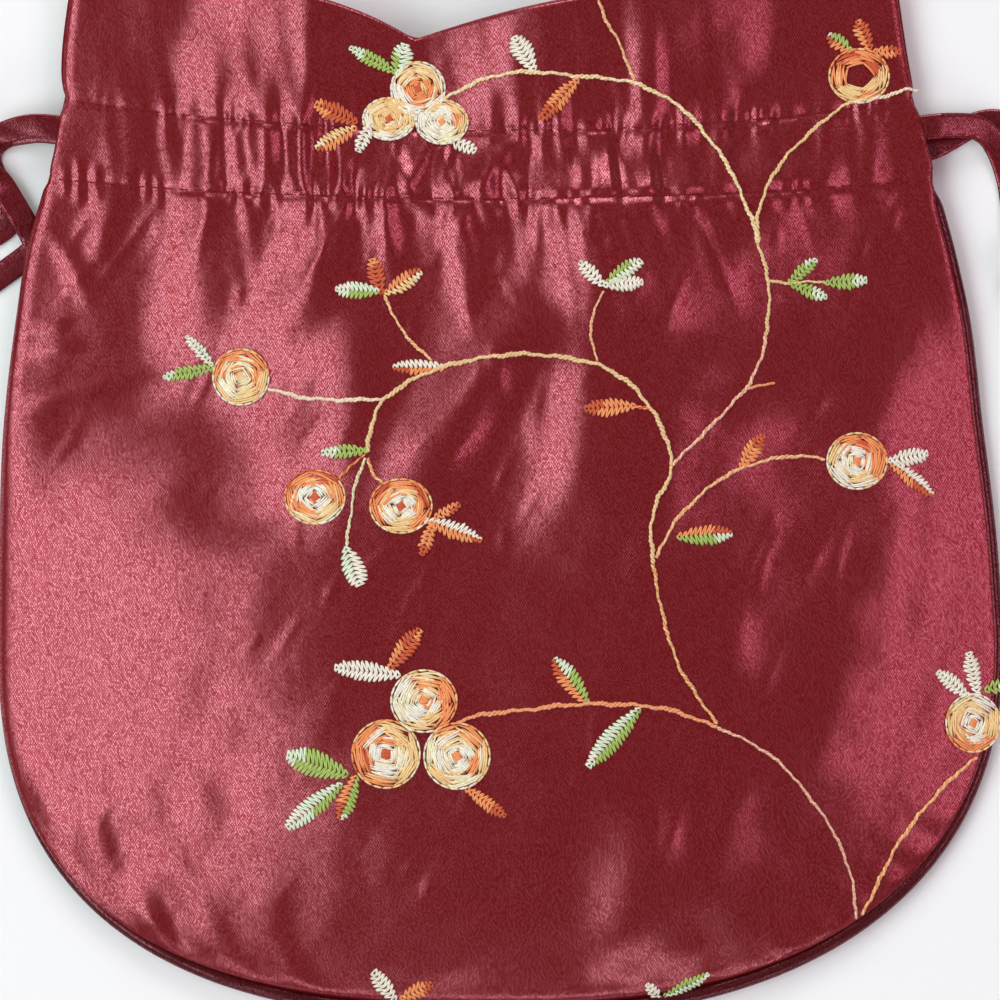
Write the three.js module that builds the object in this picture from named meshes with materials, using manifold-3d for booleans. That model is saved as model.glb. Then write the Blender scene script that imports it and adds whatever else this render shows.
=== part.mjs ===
// Embroidered satin drawstring pouch, lying on its back with its mouth towards +Y.
// Millimetres, +Z up. The origin is under the middle of the pouch, on the surface that it lies on.
import * as THREE from "three";
import { mergeVertices } from "three/addons/utils/BufferGeometryUtils.js";
import Module from "manifold-3d";

const wasm = await Module();
wasm.setup();

// Driving sizes
const POUCH_LENGTH = 188.4; // bottom edge to mouth
const HALF_WIDTH = 90.9; // of the belly, at its widest
const BELLY_Y = -25; // where the belly is widest
const BOTTOM_Y = -POUCH_LENGTH / 2;
const MOUTH_Y = POUCH_LENGTH / 2;
const CORNER_POWER = { left: 2.6, right: 2.35 }; // how square each bottom corner is
const GAP = 0.3; // between sewn pieces
const PIPING_RADIUS = 1.4;
const PIPING_TOP_Y = 54; // the last row that lies on the piping, which ends just short of it
const PIPING_END = 1.2;
const PIPING_INSET = 1.55; // of its centre line from the outline
const PIPING_FACETS = { round: 8, along: 64 };
const TUCK = 0.2; // the front panel's inset at the left, where it hides the piping
const SHOW = 3.25; // and its inset where the piping shows
const CROWN_SHARE = 0.5; // share of the half width in which the front rises to its full height
const SETTLE_SHARE = 0.28; // share in which the back comes down to the surface
const CHANNEL = { lower: 57.5, low: 59.8, high: 69.4, upper: 71.7 }; // stitch lines and tunnel, at the sides
const CHANNEL_LAYER = 1; // each of the two layers round the tunnel
const CHANNEL_FADE = 6; // beyond the stitch lines, where the gathers reach the inside too
const THICK = 3.4; // both layers and the tunnel
const BACK_COLUMNS = 20; // columns of faces across the back panel
const STRAP = { width: 4.5, thickness: 0.8, bevel: 0.35, runSteps: 26 };
const DIP = { x: -15.5, depth: 12.5, left: 21, right: 30 }; // the sag in the mouth's edge
const KNOT = { radius: 3.2, tube: 1.2, along: 24, round: 6 };

// Sections from the belly to the mouth. left, right: half widths of the outline. seam: height of the
// side seam. roof: top of the hollow. wall: thickness of the front and back. sag: how far the row bows
// down at its middle. show: the front panel's inset at the right. rows: rows of faces up to the next
// section.
const SECTIONS = [
  { y: -25, left: 90.9, right: 90.9, seam: 1.75, roof: 14.6, wall: 1.1, sag: 0, show: SHOW, rows: 1 },
  { y: -6, left: 90.7, right: 89.5, seam: 1.75, roof: 14.8, wall: 1.1, sag: 0, show: SHOW, rows: 1 },
  { y: 14, left: 89.8, right: 87, seam: 1.9, roof: 14.2, wall: 1.1, sag: 0.5, show: SHOW, rows: 2 },
  { y: 33, left: 87.5, right: 84.6, seam: 2.6, roof: 12.6, wall: 1.1, sag: 1.5, show: SHOW, rows: 2 },
  { y: 46, left: 85.3, right: 81.6, seam: 3.2, roof: 10.9, wall: 1.1, sag: 3, show: SHOW, rows: 1 },
  { y: PIPING_TOP_Y, left: 83, right: 79.4, seam: 3.5, roof: 10.1, wall: 1.1, sag: 3.8, show: SHOW, rows: 1 },
  { y: CHANNEL.lower, left: 82, right: 78.5, seam: 3.6, roof: 9.9, wall: 2, sag: 4, show: TUCK, rows: 1 },
  { y: CHANNEL.low, left: 81.2, right: 77.7, seam: 3.7, roof: 9.8, wall: THICK, sag: 4.4, show: 0, rows: 2 },
  { y: CHANNEL.high, left: 79.4, right: 75.1, seam: 3.7, roof: 9.8, wall: THICK, sag: 5.7, show: 0, rows: 1 },
  { y: CHANNEL.upper, left: 79, right: 74.6, seam: 3.7, roof: 9.8, wall: 2, sag: 6, show: 0, rows: 1 },
  { y: 77, left: 79.2, right: 73.6, seam: 3.7, roof: 10, wall: 1.8, sag: 5, show: 0, rows: 2 },
  { y: MOUTH_Y, left: 77.4, right: 71, seam: 3.7, roof: 10.8, wall: 1.8, sag: 0, show: 0, rows: 0 },
];
const BOTTOM_ANGLES = [88, 80, 68, 54, 37, 19]; // rows of the rounded bottom, from its tip to the belly

// Gathers in the channel. at: place along it. height, half: of the ridge there. down, up: how far it
// runs into the belly and the header. lean: sideways drift for each millimetre down.
const GATHERS = [
  { at: -66, height: 0.7, half: 4.5, down: 14, up: 10, lean: -0.3 },
  { at: -51.5, height: 1.5, half: 4.2, down: 30, up: 24, lean: -0.35 },
  { at: -43, height: 1.1, half: 2.6, down: 20, up: 10, lean: -0.2 },
  { at: -35.5, height: 1.2, half: 2.4, down: 16, up: 8, lean: -0.1 },
  { at: -28.5, height: 1.3, half: 2.3, down: 12, up: 12, lean: 0 },
  { at: -21, height: 1.4, half: 2.3, down: 12, up: 8, lean: 0 },
  { at: -14, height: 1.5, half: 2.2, down: 14, up: 26, lean: -0.1 },
  { at: -6.5, height: 1.5, half: 2.4, down: 18, up: 20, lean: -0.2 },
  { at: 1.5, height: 1.4, half: 2.4, down: 12, up: 12, lean: -0.2 },
  { at: 9.5, height: 1.5, half: 2.5, down: 28, up: 22, lean: -0.4 },
  { at: 17.5, height: 1.3, half: 2.5, down: 16, up: 10, lean: -0.2 },
  { at: 26.5, height: 1.2, half: 2.8, down: 14, up: 14, lean: 0 },
  { at: 36, height: 1.1, half: 2.9, down: 12, up: 10, lean: 0.1 },
  { at: 47.5, height: 0.9, half: 3.4, down: 18, up: 16, lean: 0.2 },
  { at: 61, height: 0.8, half: 4, down: 14, up: 14, lean: 0.3 },
];
const GATHER_SPREAD = 0.05; // widening of a ridge for each millimetre away from the channel
const STITCH_PINCH = { share: 0.45, run: 2.5 }; // share of a ridge's height left at a stitch line

// Soft folds of the belly, each a ridge along a line, or a hollow where the height is negative.
const FOLDS = [
  { from: [16, 38], to: [13, 6], half: 14, height: 2.8 },
  { from: [1, 30], to: [-13, 8], half: 6.3, height: 2 },
  { from: [-50.5, 50], to: [-53.5, 32], half: 5, height: 1 },
  { from: [-30, 48], to: [-42, 28], half: 6, height: 1.1 },
  { from: [-28, 30], to: [-30, 8], half: 7.5, height: 1 },
  { from: [-50, 18], to: [-46, 0], half: 14, height: -2.6 },
  { from: [71, 28], to: [65, 10], half: 7.5, height: 0.9 },
  { from: [70, -4], to: [68, -20], half: 8, height: 0.8 },
  { from: [63, -32], to: [53, -50], half: 8, height: 0.9 },
  { from: [26.5, -60], to: [22.5, -80], half: 7, height: 1.4 },
];

// Free ends of the straps, from the channel outwards. roll: turn of the flat strap about its own line.
const FRONT_STRAP_LEFT = [
  { x: -82.1, y: 66.9, z: 5.4, roll: 20 },
  { x: -86.2, y: 66.7, z: 4.8, roll: 20 },
  { x: -90.2, y: 65.4, z: 4.1, roll: 30 },
  { x: -92.7, y: 64, z: 3.8, roll: 65 },
  { x: -93.8, y: 62.4, z: 3.7, roll: 90 },
  { x: -92.7, y: 60.4, z: 3.6, roll: 75 },
  { x: -90.2, y: 57.2, z: 3, roll: 30 },
  { x: -87.6, y: 52.6, z: 2.3, roll: 5 },
  { x: -86.2, y: 50.2, z: 1.75, roll: 0 },
  { x: -84.9, y: 47.8, z: 0.75, roll: 0 },
  { x: -84, y: 45.6, z: 0.55, roll: 0 },
  { x: -85.5, y: 43.9, z: 0.5, roll: 0 },
  { x: -88, y: 42, z: 0.5, roll: 0 },
  { x: -92, y: 39.1, z: 0.5, roll: 0 },
  { x: -96, y: 36.1, z: 0.5, roll: 0 },
  { x: -99.4, y: 33.6, z: 0.9, roll: 0 },
];
const FRONT_STRAP_RIGHT = [
  { x: 77.4, y: 66.9, z: 5.2, roll: 0 },
  { x: 81.7, y: 67.2, z: 3.9, roll: 0 },
  { x: 85.5, y: 66.9, z: 2.8, roll: 0 },
  { x: 88.4, y: 65, z: 1.9, roll: 0 },
  { x: 90.4, y: 61.6, z: 1.1, roll: 0 },
  { x: 91.8, y: 57.3, z: 0.6, roll: 0 },
  { x: 92.5, y: 52.5, z: 0.5, roll: 0 },
  { x: 92.9, y: 46.9, z: 0.9, roll: 0 },
];
const BACK_STRAP_LEFT = [
  { x: -82.6, y: 66.4, z: 1.6, roll: 0 },
  { x: -86.2, y: 66.2, z: 0.9, roll: 0 },
  { x: -89.4, y: 65.5, z: 0.55, roll: 0 },
  { x: -91.9, y: 63.6, z: 0.5, roll: 0 },
  { x: -92.5, y: 61, z: 0.5, roll: 0 },
  { x: -91.4, y: 58.1, z: 0.5, roll: 0 },
  { x: -89.6, y: 55, z: 0.5, roll: 0 },
  { x: -88.6, y: 52.2, z: 0.5, roll: 0 },
  { x: -89.2, y: 49.6, z: 0.5, roll: 0 },
  { x: -91.2, y: 47.9, z: 0.5, roll: 0 },
  { x: -95, y: 45.8, z: 0.5, roll: 0 },
  { x: -99.2, y: 41.9, z: 0.5, roll: 0 },
  { x: -102.7, y: 36.8, z: 0.9, roll: 0 },
];
const BACK_STRAP_RIGHT = [
  { x: 77.8, y: 63.4, z: 1.6, roll: 0 },
  { x: 80.9, y: 65, z: 0.9, roll: 0 },
  { x: 84.4, y: 67, z: 0.5, roll: 0 },
  { x: 88.2, y: 68.1, z: 0.5, roll: 0 },
  { x: 92.2, y: 67.4, z: 0.5, roll: 0 },
  { x: 95.8, y: 64.4, z: 0.5, roll: 0 },
  { x: 97.8, y: 60, z: 0.5, roll: 0 },
  { x: 98.4, y: 54.6, z: 0.5, roll: 0 },
  { x: 98.1, y: 47, z: 0.9, roll: 0 },
];
const FRONT_STRAP_Y = { left: 66.6, right: 66.6 }; // where each strap runs in the channel, at the sides
const BACK_STRAP_Y = { left: 66.2, right: 62.6 };
const KNOT_LEFT = { x: -103.4, y: 31.2 };
const KNOT_RIGHT = { x: 95.6, y: 41.5 };

const satin = new THREE.MeshStandardMaterial({ color: 0x7a1f2b, roughness: 0.4, metalness: 0 });
const satinTrim = new THREE.MeshStandardMaterial({ color: 0x6a1a25, roughness: 0.42, metalness: 0 });

// Section values at any row, by a smooth curve through the table
const SECTION_COLUMNS = ["left", "right", "seam", "roof", "wall", "sag", "show"];
const sectionCurve = new THREE.CubicInterpolant(
  SECTIONS.map((section) => section.y),
  SECTIONS.flatMap((section) => SECTION_COLUMNS.map((column) => section[column])),
  SECTION_COLUMNS.length,
  new Float64Array(SECTION_COLUMNS.length),
);

function sectionAt(y) {
  const values = sectionCurve.evaluate(Math.max(y, BELLY_Y));
  const section = Object.fromEntries(SECTION_COLUMNS.map((column, i) => [column, values[i]]));
  section.wall = Math.min(section.wall, THICK);
  return section;
}

const ease = THREE.MathUtils.smoothstep;
const mix = THREE.MathUtils.lerp;

// How far a row lies from the belly towards the tip of the bottom, 0 to 1
function bottomShare(y, inset) {
  return Math.max(0, BELLY_Y - y) / (BELLY_Y - BOTTOM_Y - inset);
}

// Half width of a panel at a row, for a panel that is inset from the outline at its side and at its bottom
function halfWidth(y, side, sideInset, bottomInset) {
  if (y >= BELLY_Y) return sectionAt(y)[side] - sideInset;
  const power = CORNER_POWER[side];
  const share = Math.min(1, bottomShare(y, bottomInset));
  return (HALF_WIDTH - sideInset) * (1 - share ** power) ** (1 / power);
}

// 0 along the middle of a panel, 1 at its edge
function edgeShare(u, y, bottomInset) {
  const power = u < 0 ? CORNER_POWER.left : CORNER_POWER.right;
  const share = Math.min(1, bottomShare(y, bottomInset));
  const across = Math.abs(u) * (1 - share ** power) ** (1 / power);
  return (across ** power + share ** power) ** (1 / power);
}

// Points of the outline, or of a line inset from it, from the left side round the bottom to the right side
function outline(topY, inset) {
  const sideRows = [topY, 44, 33, 20, 5, -10];
  const angles = [0, 10, 20, 30, 40, 50, 58, 65, 71, 77, 83];
  const reach = BELLY_Y - BOTTOM_Y - inset;
  const rows = [...sideRows, ...angles.map((a) => BELLY_Y - reach * Math.sin(THREE.MathUtils.degToRad(a)))];
  const left = rows.map((y) => new THREE.Vector2(-halfWidth(y, "left", inset, inset), y));
  const right = rows.map((y) => new THREE.Vector2(halfWidth(y, "right", inset, inset), y));
  return [...left, new THREE.Vector2(0, BOTTOM_Y + inset), ...right.reverse()];
}

const outerCurve = new THREE.SplineCurve(outline(PIPING_TOP_Y, 0)).getPoints(400);

function insetOf(x, y) {
  return Math.min(...outerCurve.map((point) => Math.hypot(point.x - x, point.y - y)));
}

// Height of the front panel's rim: over or beside the piping, or on the seam where there is none
function frontRim(x, y, section) {
  if (y > PIPING_TOP_Y) return section.seam + GAP / 2;
  const reach = PIPING_RADIUS + 1.5 * GAP;
  const aside = insetOf(x, y) - PIPING_INSET;
  return section.seam + Math.sqrt(Math.max(0, reach ** 2 - aside ** 2));
}

// A row bows down in the middle, and in the header it follows the sag of the mouth
function rowHeight(u, y, x, section) {
  const header = THREE.MathUtils.clamp((y - CHANNEL.upper) / (MOUTH_Y - CHANNEL.upper), 0, 1);
  const away = x - DIP.x;
  const dip = DIP.depth * Math.exp(-Math.abs(away) / (away < 0 ? DIP.left : DIP.right));
  return y - (section.sag + dip * header) * (1 - u * u);
}

function gatherHeight(x, y) {
  const below = Math.max(0, CHANNEL.lower - y);
  const above = Math.max(0, y - CHANNEL.upper);
  const toStitch = Math.min(Math.abs(y - CHANNEL.lower), Math.abs(y - CHANNEL.upper));
  const pinch = mix(STITCH_PINCH.share, 1, ease(toStitch, 0, STITCH_PINCH.run));
  return GATHERS.reduce((sum, gather) => {
    const fade = Math.exp(-((below / gather.down) ** 2) - (above / gather.up) ** 2);
    const half = gather.half * (1 + GATHER_SPREAD * (below + above));
    const aside = x - gather.at - gather.lean * below;
    return sum + gather.height * pinch * fade * Math.exp(-((aside / half) ** 2));
  }, 0);
}

function foldHeight(x, y) {
  const point = new THREE.Vector3(x, y, 0);
  const nearest = new THREE.Vector3();
  return FOLDS.reduce((sum, fold) => {
    const line = new THREE.Line3(new THREE.Vector3(...fold.from, 0), new THREE.Vector3(...fold.to, 0));
    line.closestPointToPoint(point, true, nearest);
    return sum + fold.height * Math.exp(-((nearest.distanceTo(point) / fold.half) ** 2));
  }, 0);
}

// Place and heights of the front panel at a column u (-1 left to 1 right) and a row y
function frontAt(u, y) {
  const section = sectionAt(y);
  const left = -halfWidth(y, "left", TUCK, SHOW);
  const right = halfWidth(y, "right", section.show, SHOW);
  const x = u < 0 ? -u * left : u * right;
  const rim = mix(frontRim(left, y, section), frontRim(right, y, section), (u + 1) / 2);
  const inward = (1 - edgeShare(u, y, SHOW)) / CROWN_SHARE;
  const crown = Math.sin((Math.PI / 2) * THREE.MathUtils.clamp(inward, 0, 1));
  const relief = (gatherHeight(x, y) + foldHeight(x, y)) * crown;
  const below = 1 - ease(y, CHANNEL.lower - CHANNEL_FADE, CHANNEL.lower);
  const above = ease(y, CHANNEL.upper, CHANNEL.upper + CHANNEL_FADE);
  const flat = mix(rim, section.roof, crown);
  return {
    x,
    y: rowHeight(u, y, x, section),
    under: flat + relief * (below + above),
    over: flat + section.wall + relief,
  };
}

// The same for the back panel, which lies flat but for its edge
function backAt(u, y) {
  const section = sectionAt(y);
  const side = u < 0 ? "left" : "right";
  const inset = y > PIPING_TOP_Y ? 0 : SHOW;
  const x = u * halfWidth(y, side, inset, SHOW);
  const top = section.seam - GAP / 2;
  const settled = ease(1 - edgeShare(u, y, SHOW), 0, SETTLE_SHARE);
  const under = mix(top - section.wall, 0, settled);
  return { x, y: rowHeight(u, y, x, section), under, over: under + section.wall };
}

// A closed body through rings of points. Each ring's first half runs back over its second half.
function loft(rings) {
  const count = rings[0].length;
  const half = count / 2;
  const faces = [];
  const quad = (a, b, c, d) => faces.push(a, b, c, a, c, d);
  for (let r = 0; r + 1 < rings.length; r++) {
    for (let i = 0; i < count; i++) {
      const j = (i + 1) % count;
      quad(r * count + i, r * count + j, (r + 1) * count + j, (r + 1) * count + i);
    }
  }
  const last = (rings.length - 1) * count;
  for (let i = 0; i + 1 < half; i++) {
    quad(count - 1 - i, count - 2 - i, i + 1, i);
    quad(last + i, last + i + 1, last + count - 2 - i, last + count - 1 - i);
  }
  const geometry = new THREE.BufferGeometry().setFromPoints(rings.flat()).setIndex(faces);
  return signedVolume(geometry) < 0 ? turnedOut(geometry) : geometry;
}

function signedVolume(geometry) {
  const place = geometry.getAttribute("position");
  const index = geometry.index.array;
  const corner = [new THREE.Vector3(), new THREE.Vector3(), new THREE.Vector3()];
  let sum = 0;
  for (let i = 0; i < index.length; i += 3) {
    corner.forEach((point, k) => point.fromBufferAttribute(place, index[i + k]));
    sum += corner[0].dot(corner[1].clone().cross(corner[2]));
  }
  return sum;
}

function turnedOut(geometry) {
  const index = geometry.index.array;
  for (let i = 0; i < index.length; i += 3) [index[i], index[i + 1]] = [index[i + 1], index[i]];
  return geometry;
}

// A ring of a panel: along its upper side from left to right, and back along its lower side
function panelRing(columns, y, placeAt) {
  const places = columns.map((u) => placeAt(u, y));
  const over = places.map((place) => new THREE.Vector3(place.x, place.y, place.over));
  const under = places.map((place) => new THREE.Vector3(place.x, place.y, place.under));
  return [...over, ...under.reverse()];
}

function panelRows() {
  const reach = BELLY_Y - BOTTOM_Y - SHOW;
  const bottom = BOTTOM_ANGLES.map((angle) => BELLY_Y - reach * Math.sin(THREE.MathUtils.degToRad(angle)));
  const sides = SECTIONS.flatMap((section, i) =>
    Array.from({ length: section.rows }, (_, k) => mix(section.y, SECTIONS[i + 1].y, k / section.rows)),
  );
  return [...bottom, ...sides, MOUTH_Y];
}

// Columns on the crest, the valley and both flanks of each gather
function frontColumns() {
  const { left, right } = sectionAt(CHANNEL.low);
  const crests = GATHERS.map((gather) => gather.at / (gather.at < 0 ? left : right));
  const stations = [-1, ...crests, 1];
  const inner = stations.slice(0, -1).flatMap((start, i) => {
    return [0, 0.25, 0.5, 0.75].map((share) => mix(start, stations[i + 1], share));
  });
  return [...inner, 1];
}

const evenColumns = (count) => Array.from({ length: count + 1 }, (_, i) => (2 * i) / count - 1);

// The tunnel that a strap runs in, past both sides of a panel
function tunnel(columns, placeAt) {
  const past = 1.06;
  const stretched = [-past, ...columns, past];
  const hollowAt = (u, y) => {
    const place = placeAt(THREE.MathUtils.clamp(u, -1, 1), y);
    const x = Math.abs(u) > 1 ? place.x * past : place.x;
    return { x, y: place.y, under: place.under + CHANNEL_LAYER, over: place.over - CHANNEL_LAYER };
  };
  const rows = [CHANNEL.low, (CHANNEL.low + CHANNEL.high) / 2, CHANNEL.high];
  return loft(rows.map((y) => panelRing(stretched, y, hollowAt)));
}

function solidOf(geometry) {
  const merged = mergeVertices(geometry, 1e-4);
  return new wasm.Manifold(
    new wasm.Mesh({
      numProp: 3,
      vertProperties: new Float32Array(merged.getAttribute("position").array),
      triVerts: new Uint32Array(merged.index.array),
    }),
  );
}

function cut(geometry, tool) {
  const mesh = solidOf(geometry).subtract(solidOf(tool)).getMesh();
  return new THREE.BufferGeometry()
    .setAttribute("position", new THREE.BufferAttribute(mesh.vertProperties, 3))
    .setIndex(new THREE.BufferAttribute(mesh.triVerts, 1));
}

function panel(columns, placeAt) {
  return cut(loft(panelRows().map((y) => panelRing(columns, y, placeAt))), tunnel(columns, placeAt));
}

function piping() {
  const path = outline(PIPING_TOP_Y - PIPING_END, PIPING_INSET).map((point) => {
    return new THREE.Vector3(point.x, point.y, sectionAt(point.y).seam);
  });
  const section = new THREE.Shape(
    Array.from({ length: PIPING_FACETS.round }, (_, i) => {
      const angle = (i / PIPING_FACETS.round) * 2 * Math.PI;
      return new THREE.Vector2(PIPING_RADIUS * Math.cos(angle), PIPING_RADIUS * Math.sin(angle));
    }),
  );
  const curve = new THREE.CatmullRomCurve3(path);
  const steps = PIPING_FACETS.along;
  return new THREE.ExtrudeGeometry(section, { steps, extrudePath: curve, bevelEnabled: false });
}

// A strap's run inside a channel, along the tunnel's floor
function channelRun(placeAt, strapY) {
  const lift = CHANNEL_LAYER + GAP + STRAP.thickness / 2;
  return evenColumns(STRAP.runSteps).map((u) => {
    const place = placeAt(u, mix(strapY.left, strapY.right, (u + 1) / 2));
    return { x: place.x, y: place.y, z: place.under + lift, roll: 0 };
  });
}

// Twice as many points on a smooth curve through a free end, without the first, which is in the channel
function freeEnd(start, points) {
  const route = [start, ...points];
  const line = new THREE.CatmullRomCurve3(route.map((point) => new THREE.Vector3(point.x, point.y, point.z)));
  const steps = 2 * points.length;
  return Array.from({ length: steps }, (_, i) => {
    const from = Math.min(Math.floor((i + 1) / 2), points.length - 1);
    const roll = mix(route[from].roll, route[from + 1].roll, (i + 1) / 2 - from);
    return { ...line.getPoint((i + 1) / steps), roll };
  });
}

// A flat strap along its route, turned about its own line by each point's roll
function strap(left, run, right) {
  const route = [...freeEnd(run[0], left).toReversed(), ...run, ...freeEnd(run.at(-1), right)];
  const places = route.map((point) => new THREE.Vector3(point.x, point.y, point.z));
  const across = STRAP.width / 2;
  const flat = across - STRAP.bevel;
  const deep = STRAP.thickness / 2;
  const section = [[-across, 0], [-flat, deep], [flat, deep], [across, 0], [flat, -deep], [-flat, -deep]];
  const rings = places.map((place, i) => {
    const next = places[Math.min(i + 1, places.length - 1)];
    const along = next.clone().sub(places[Math.max(i - 1, 0)]).normalize();
    const side = new THREE.Vector3(along.y, -along.x, 0).normalize();
    side.applyAxisAngle(along, THREE.MathUtils.degToRad(route[i].roll));
    const up = new THREE.Vector3().crossVectors(side, along);
    return section.map(([a, b]) => place.clone().addScaledVector(side, a).addScaledVector(up, b));
  });
  return loft(rings);
}

// A trefoil, as an overhand knot has
function knot(place) {
  const geometry = new THREE.TorusKnotGeometry(KNOT.radius, KNOT.tube, KNOT.along, KNOT.round, 2, 3);
  geometry.deleteAttribute("normal").deleteAttribute("uv");
  const welded = mergeVertices(geometry, 1e-3);
  welded.computeBoundingBox();
  return welded.translate(place.x, place.y, -welded.boundingBox.min.z);
}

const pouch = new THREE.Group();

function add(name, geometry, material) {
  const mesh = new THREE.Mesh(geometry, material);
  mesh.name = name;
  pouch.add(mesh);
}

add("front_panel", panel(frontColumns(), frontAt), satin);
add("back_panel", panel(evenColumns(BACK_COLUMNS), backAt), satin);
add("piping", piping(), satinTrim);
add("strap_front", strap(FRONT_STRAP_LEFT, channelRun(frontAt, FRONT_STRAP_Y), FRONT_STRAP_RIGHT), satinTrim);
add("strap_back", strap(BACK_STRAP_LEFT, channelRun(backAt, BACK_STRAP_Y), BACK_STRAP_RIGHT), satinTrim);
add("knot_left", knot(KNOT_LEFT), satinTrim);
add("knot_right", knot(KNOT_RIGHT), satinTrim);

export default pouch;
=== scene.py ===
import bpy
import numpy as np
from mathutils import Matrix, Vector


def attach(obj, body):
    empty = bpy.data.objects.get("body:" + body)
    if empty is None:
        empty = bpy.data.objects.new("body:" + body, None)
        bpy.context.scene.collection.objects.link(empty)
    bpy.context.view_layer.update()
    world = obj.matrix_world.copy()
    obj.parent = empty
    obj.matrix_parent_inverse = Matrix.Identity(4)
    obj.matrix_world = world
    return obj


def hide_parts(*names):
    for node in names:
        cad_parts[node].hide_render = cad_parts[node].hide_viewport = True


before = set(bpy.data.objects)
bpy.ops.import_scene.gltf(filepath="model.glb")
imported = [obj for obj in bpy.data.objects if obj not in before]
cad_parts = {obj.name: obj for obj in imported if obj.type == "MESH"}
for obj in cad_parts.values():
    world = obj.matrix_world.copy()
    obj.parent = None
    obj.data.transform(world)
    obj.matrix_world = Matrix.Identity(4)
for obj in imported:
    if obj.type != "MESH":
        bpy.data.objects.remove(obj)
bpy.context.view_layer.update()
mm = 0.001
print("frame loaded:", len(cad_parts), "nodes")


# Small helpers
def ease(value, low, high):
    s = np.clip((value - low) / (high - low), 0, 1)
    return s * s * (3 - 2 * s)


def mix(a, b, share):
    return a + (b - a) * share


def unit(vectors):
    return vectors / np.maximum(np.linalg.norm(vectors, axis=-1, keepdims=True), 1e-9)


def runOf(path):  # distance along a path at each of its points
    return np.append(0, np.cumsum(np.linalg.norm(np.diff(path, axis=0), axis=1)))


def alongPath(path, stations):
    run = runOf(path)
    return np.stack([np.interp(stations, run, column) for column in path.T], axis=1)


def evenly(path, count):
    return alongPath(path, np.linspace(0, runOf(path)[-1], count))


def smoothLine(points, step, perSpan=24):  # even points on a smooth curve through a few
    points = np.asarray(points, float)
    padded = np.vstack([2 * points[0] - points[1], points, 2 * points[-1] - points[-2]])
    s = np.linspace(0, 1, perSpan, endpoint=False)[:, None]
    spans = []
    for a, b, c, d in zip(padded, padded[1:], padded[2:], padded[3:]):
        bend = (2 * a - 5 * b + 4 * c - d) * s**2 + (3 * b - a - 3 * c + d) * s**3
        spans.append(b + 0.5 * ((c - a) * s + bend))
    curve = np.vstack([*spans, points[-1:]])
    return evenly(curve, max(2, int(round(runOf(curve)[-1] / step)) + 1))


def waves(x, y, lengthX, lengthY, seed, count=20):  # soft uneven waves, about -1 to 1
    draw = np.random.default_rng(seed)
    total = np.zeros(np.broadcast(x, y).shape)
    for turn, phase, stretch in draw.uniform((0, 0, 0.7), (2, 2, 1.4), (count, 3)):
        alongX = np.cos(turn * np.pi) * stretch / lengthX
        alongY = np.sin(turn * np.pi) * stretch / lengthY
        total += np.cos(2 * np.pi * (x * alongX + y * alongY) + phase * np.pi)
    return total * np.sqrt(2 / count)


def addPiece(name, points, faces, materials, faceSlots=None):
    mesh = bpy.data.meshes.new(name)
    mesh.from_pydata((np.asarray(points) * mm).tolist(), [], faces)
    for material in materials:
        mesh.materials.append(material)
    if faceSlots is not None:
        mesh.polygons.foreach_set("material_index", faceSlots)
    mesh.polygons.foreach_set("use_smooth", [True] * len(mesh.polygons))
    mesh.update()
    piece = bpy.data.objects.new(name, mesh)
    bpy.context.collection.objects.link(piece)
    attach(piece, "root")
    return piece


# Camera, straight above the pouch
photoView = {
    "side": 1000,  # pixels
    "pixel": 0.18,  # mm on the plane of the pouch's rim
    "centre": (-0.18, -0.27),  # mm, under the lens
    "rimPlane": 4.0,  # mm
    "lensHeight": 900.0,  # mm
    "sensor": 36.0,  # mm
}


def addCamera():
    data = bpy.data.cameras.new("camera")
    data.sensor_width = photoView["sensor"]
    away = photoView["lensHeight"] - photoView["rimPlane"]
    data.lens = photoView["sensor"] * away / (photoView["side"] * photoView["pixel"])
    camera = bpy.data.objects.new("camera", data)
    camera.location = (photoView["centre"][0] * mm, photoView["centre"][1] * mm, photoView["lensHeight"] * mm)
    bpy.context.collection.objects.link(camera)
    bpy.context.scene.camera = camera


def underPixels(pixels, height):  # mm in the pouch's frame, at a height above the floor
    half = photoView["side"] / 2
    away = photoView["lensHeight"] - photoView["rimPlane"]
    scale = photoView["pixel"] * (photoView["lensHeight"] - height) / away
    x = photoView["centre"][0] + (pixels[..., 0] - half) * scale
    y = photoView["centre"][1] - (pixels[..., 1] - half) * scale
    return x, y


addCamera()
print("camera placed")

# Shape of the pouch that every piece on it follows, in millimetres
pouchShape = {
    "bottomY": -94.2,
    "bellyY": -25.0,
    "mouthY": 94.2,
    "halfWidth": 90.9,
    "corner": {"left": 2.6, "right": 2.35},  # how square each bottom corner is
    "lowerStitch": 57.5,
    "upperStitch": 71.7,
    "pipingTop": 54.0,
    "tuck": 0.2,  # inset of the front's left side, which hides the piping
    "half": 1.6,  # inset of its right side, which hides half of the piping
    "show": 2.9,  # inset where all of the piping shows
    "insetFade": (-2.0, 3.0),  # the right inset fades from near the piping's top to near the lower stitches
    "pinch": 0.7,  # where the channel's stitches draw the sides in
    "pinchRun": 1.5,
    "crownShare": {"left": 0.72, "right": 0.8},
    "settleShare": 0.28,
    "underSeam": 0.15,  # from the seam down to the back's edge
    "lift": 0.05,  # of the back over the floor
    "dip": {"x": -15.5, "depth": 12.5, "left": 21.0, "right": 30.0},  # in the mouth's edge
}
sectionColumns = ("y", "left", "right", "seam", "top", "wall", "sag")
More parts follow.
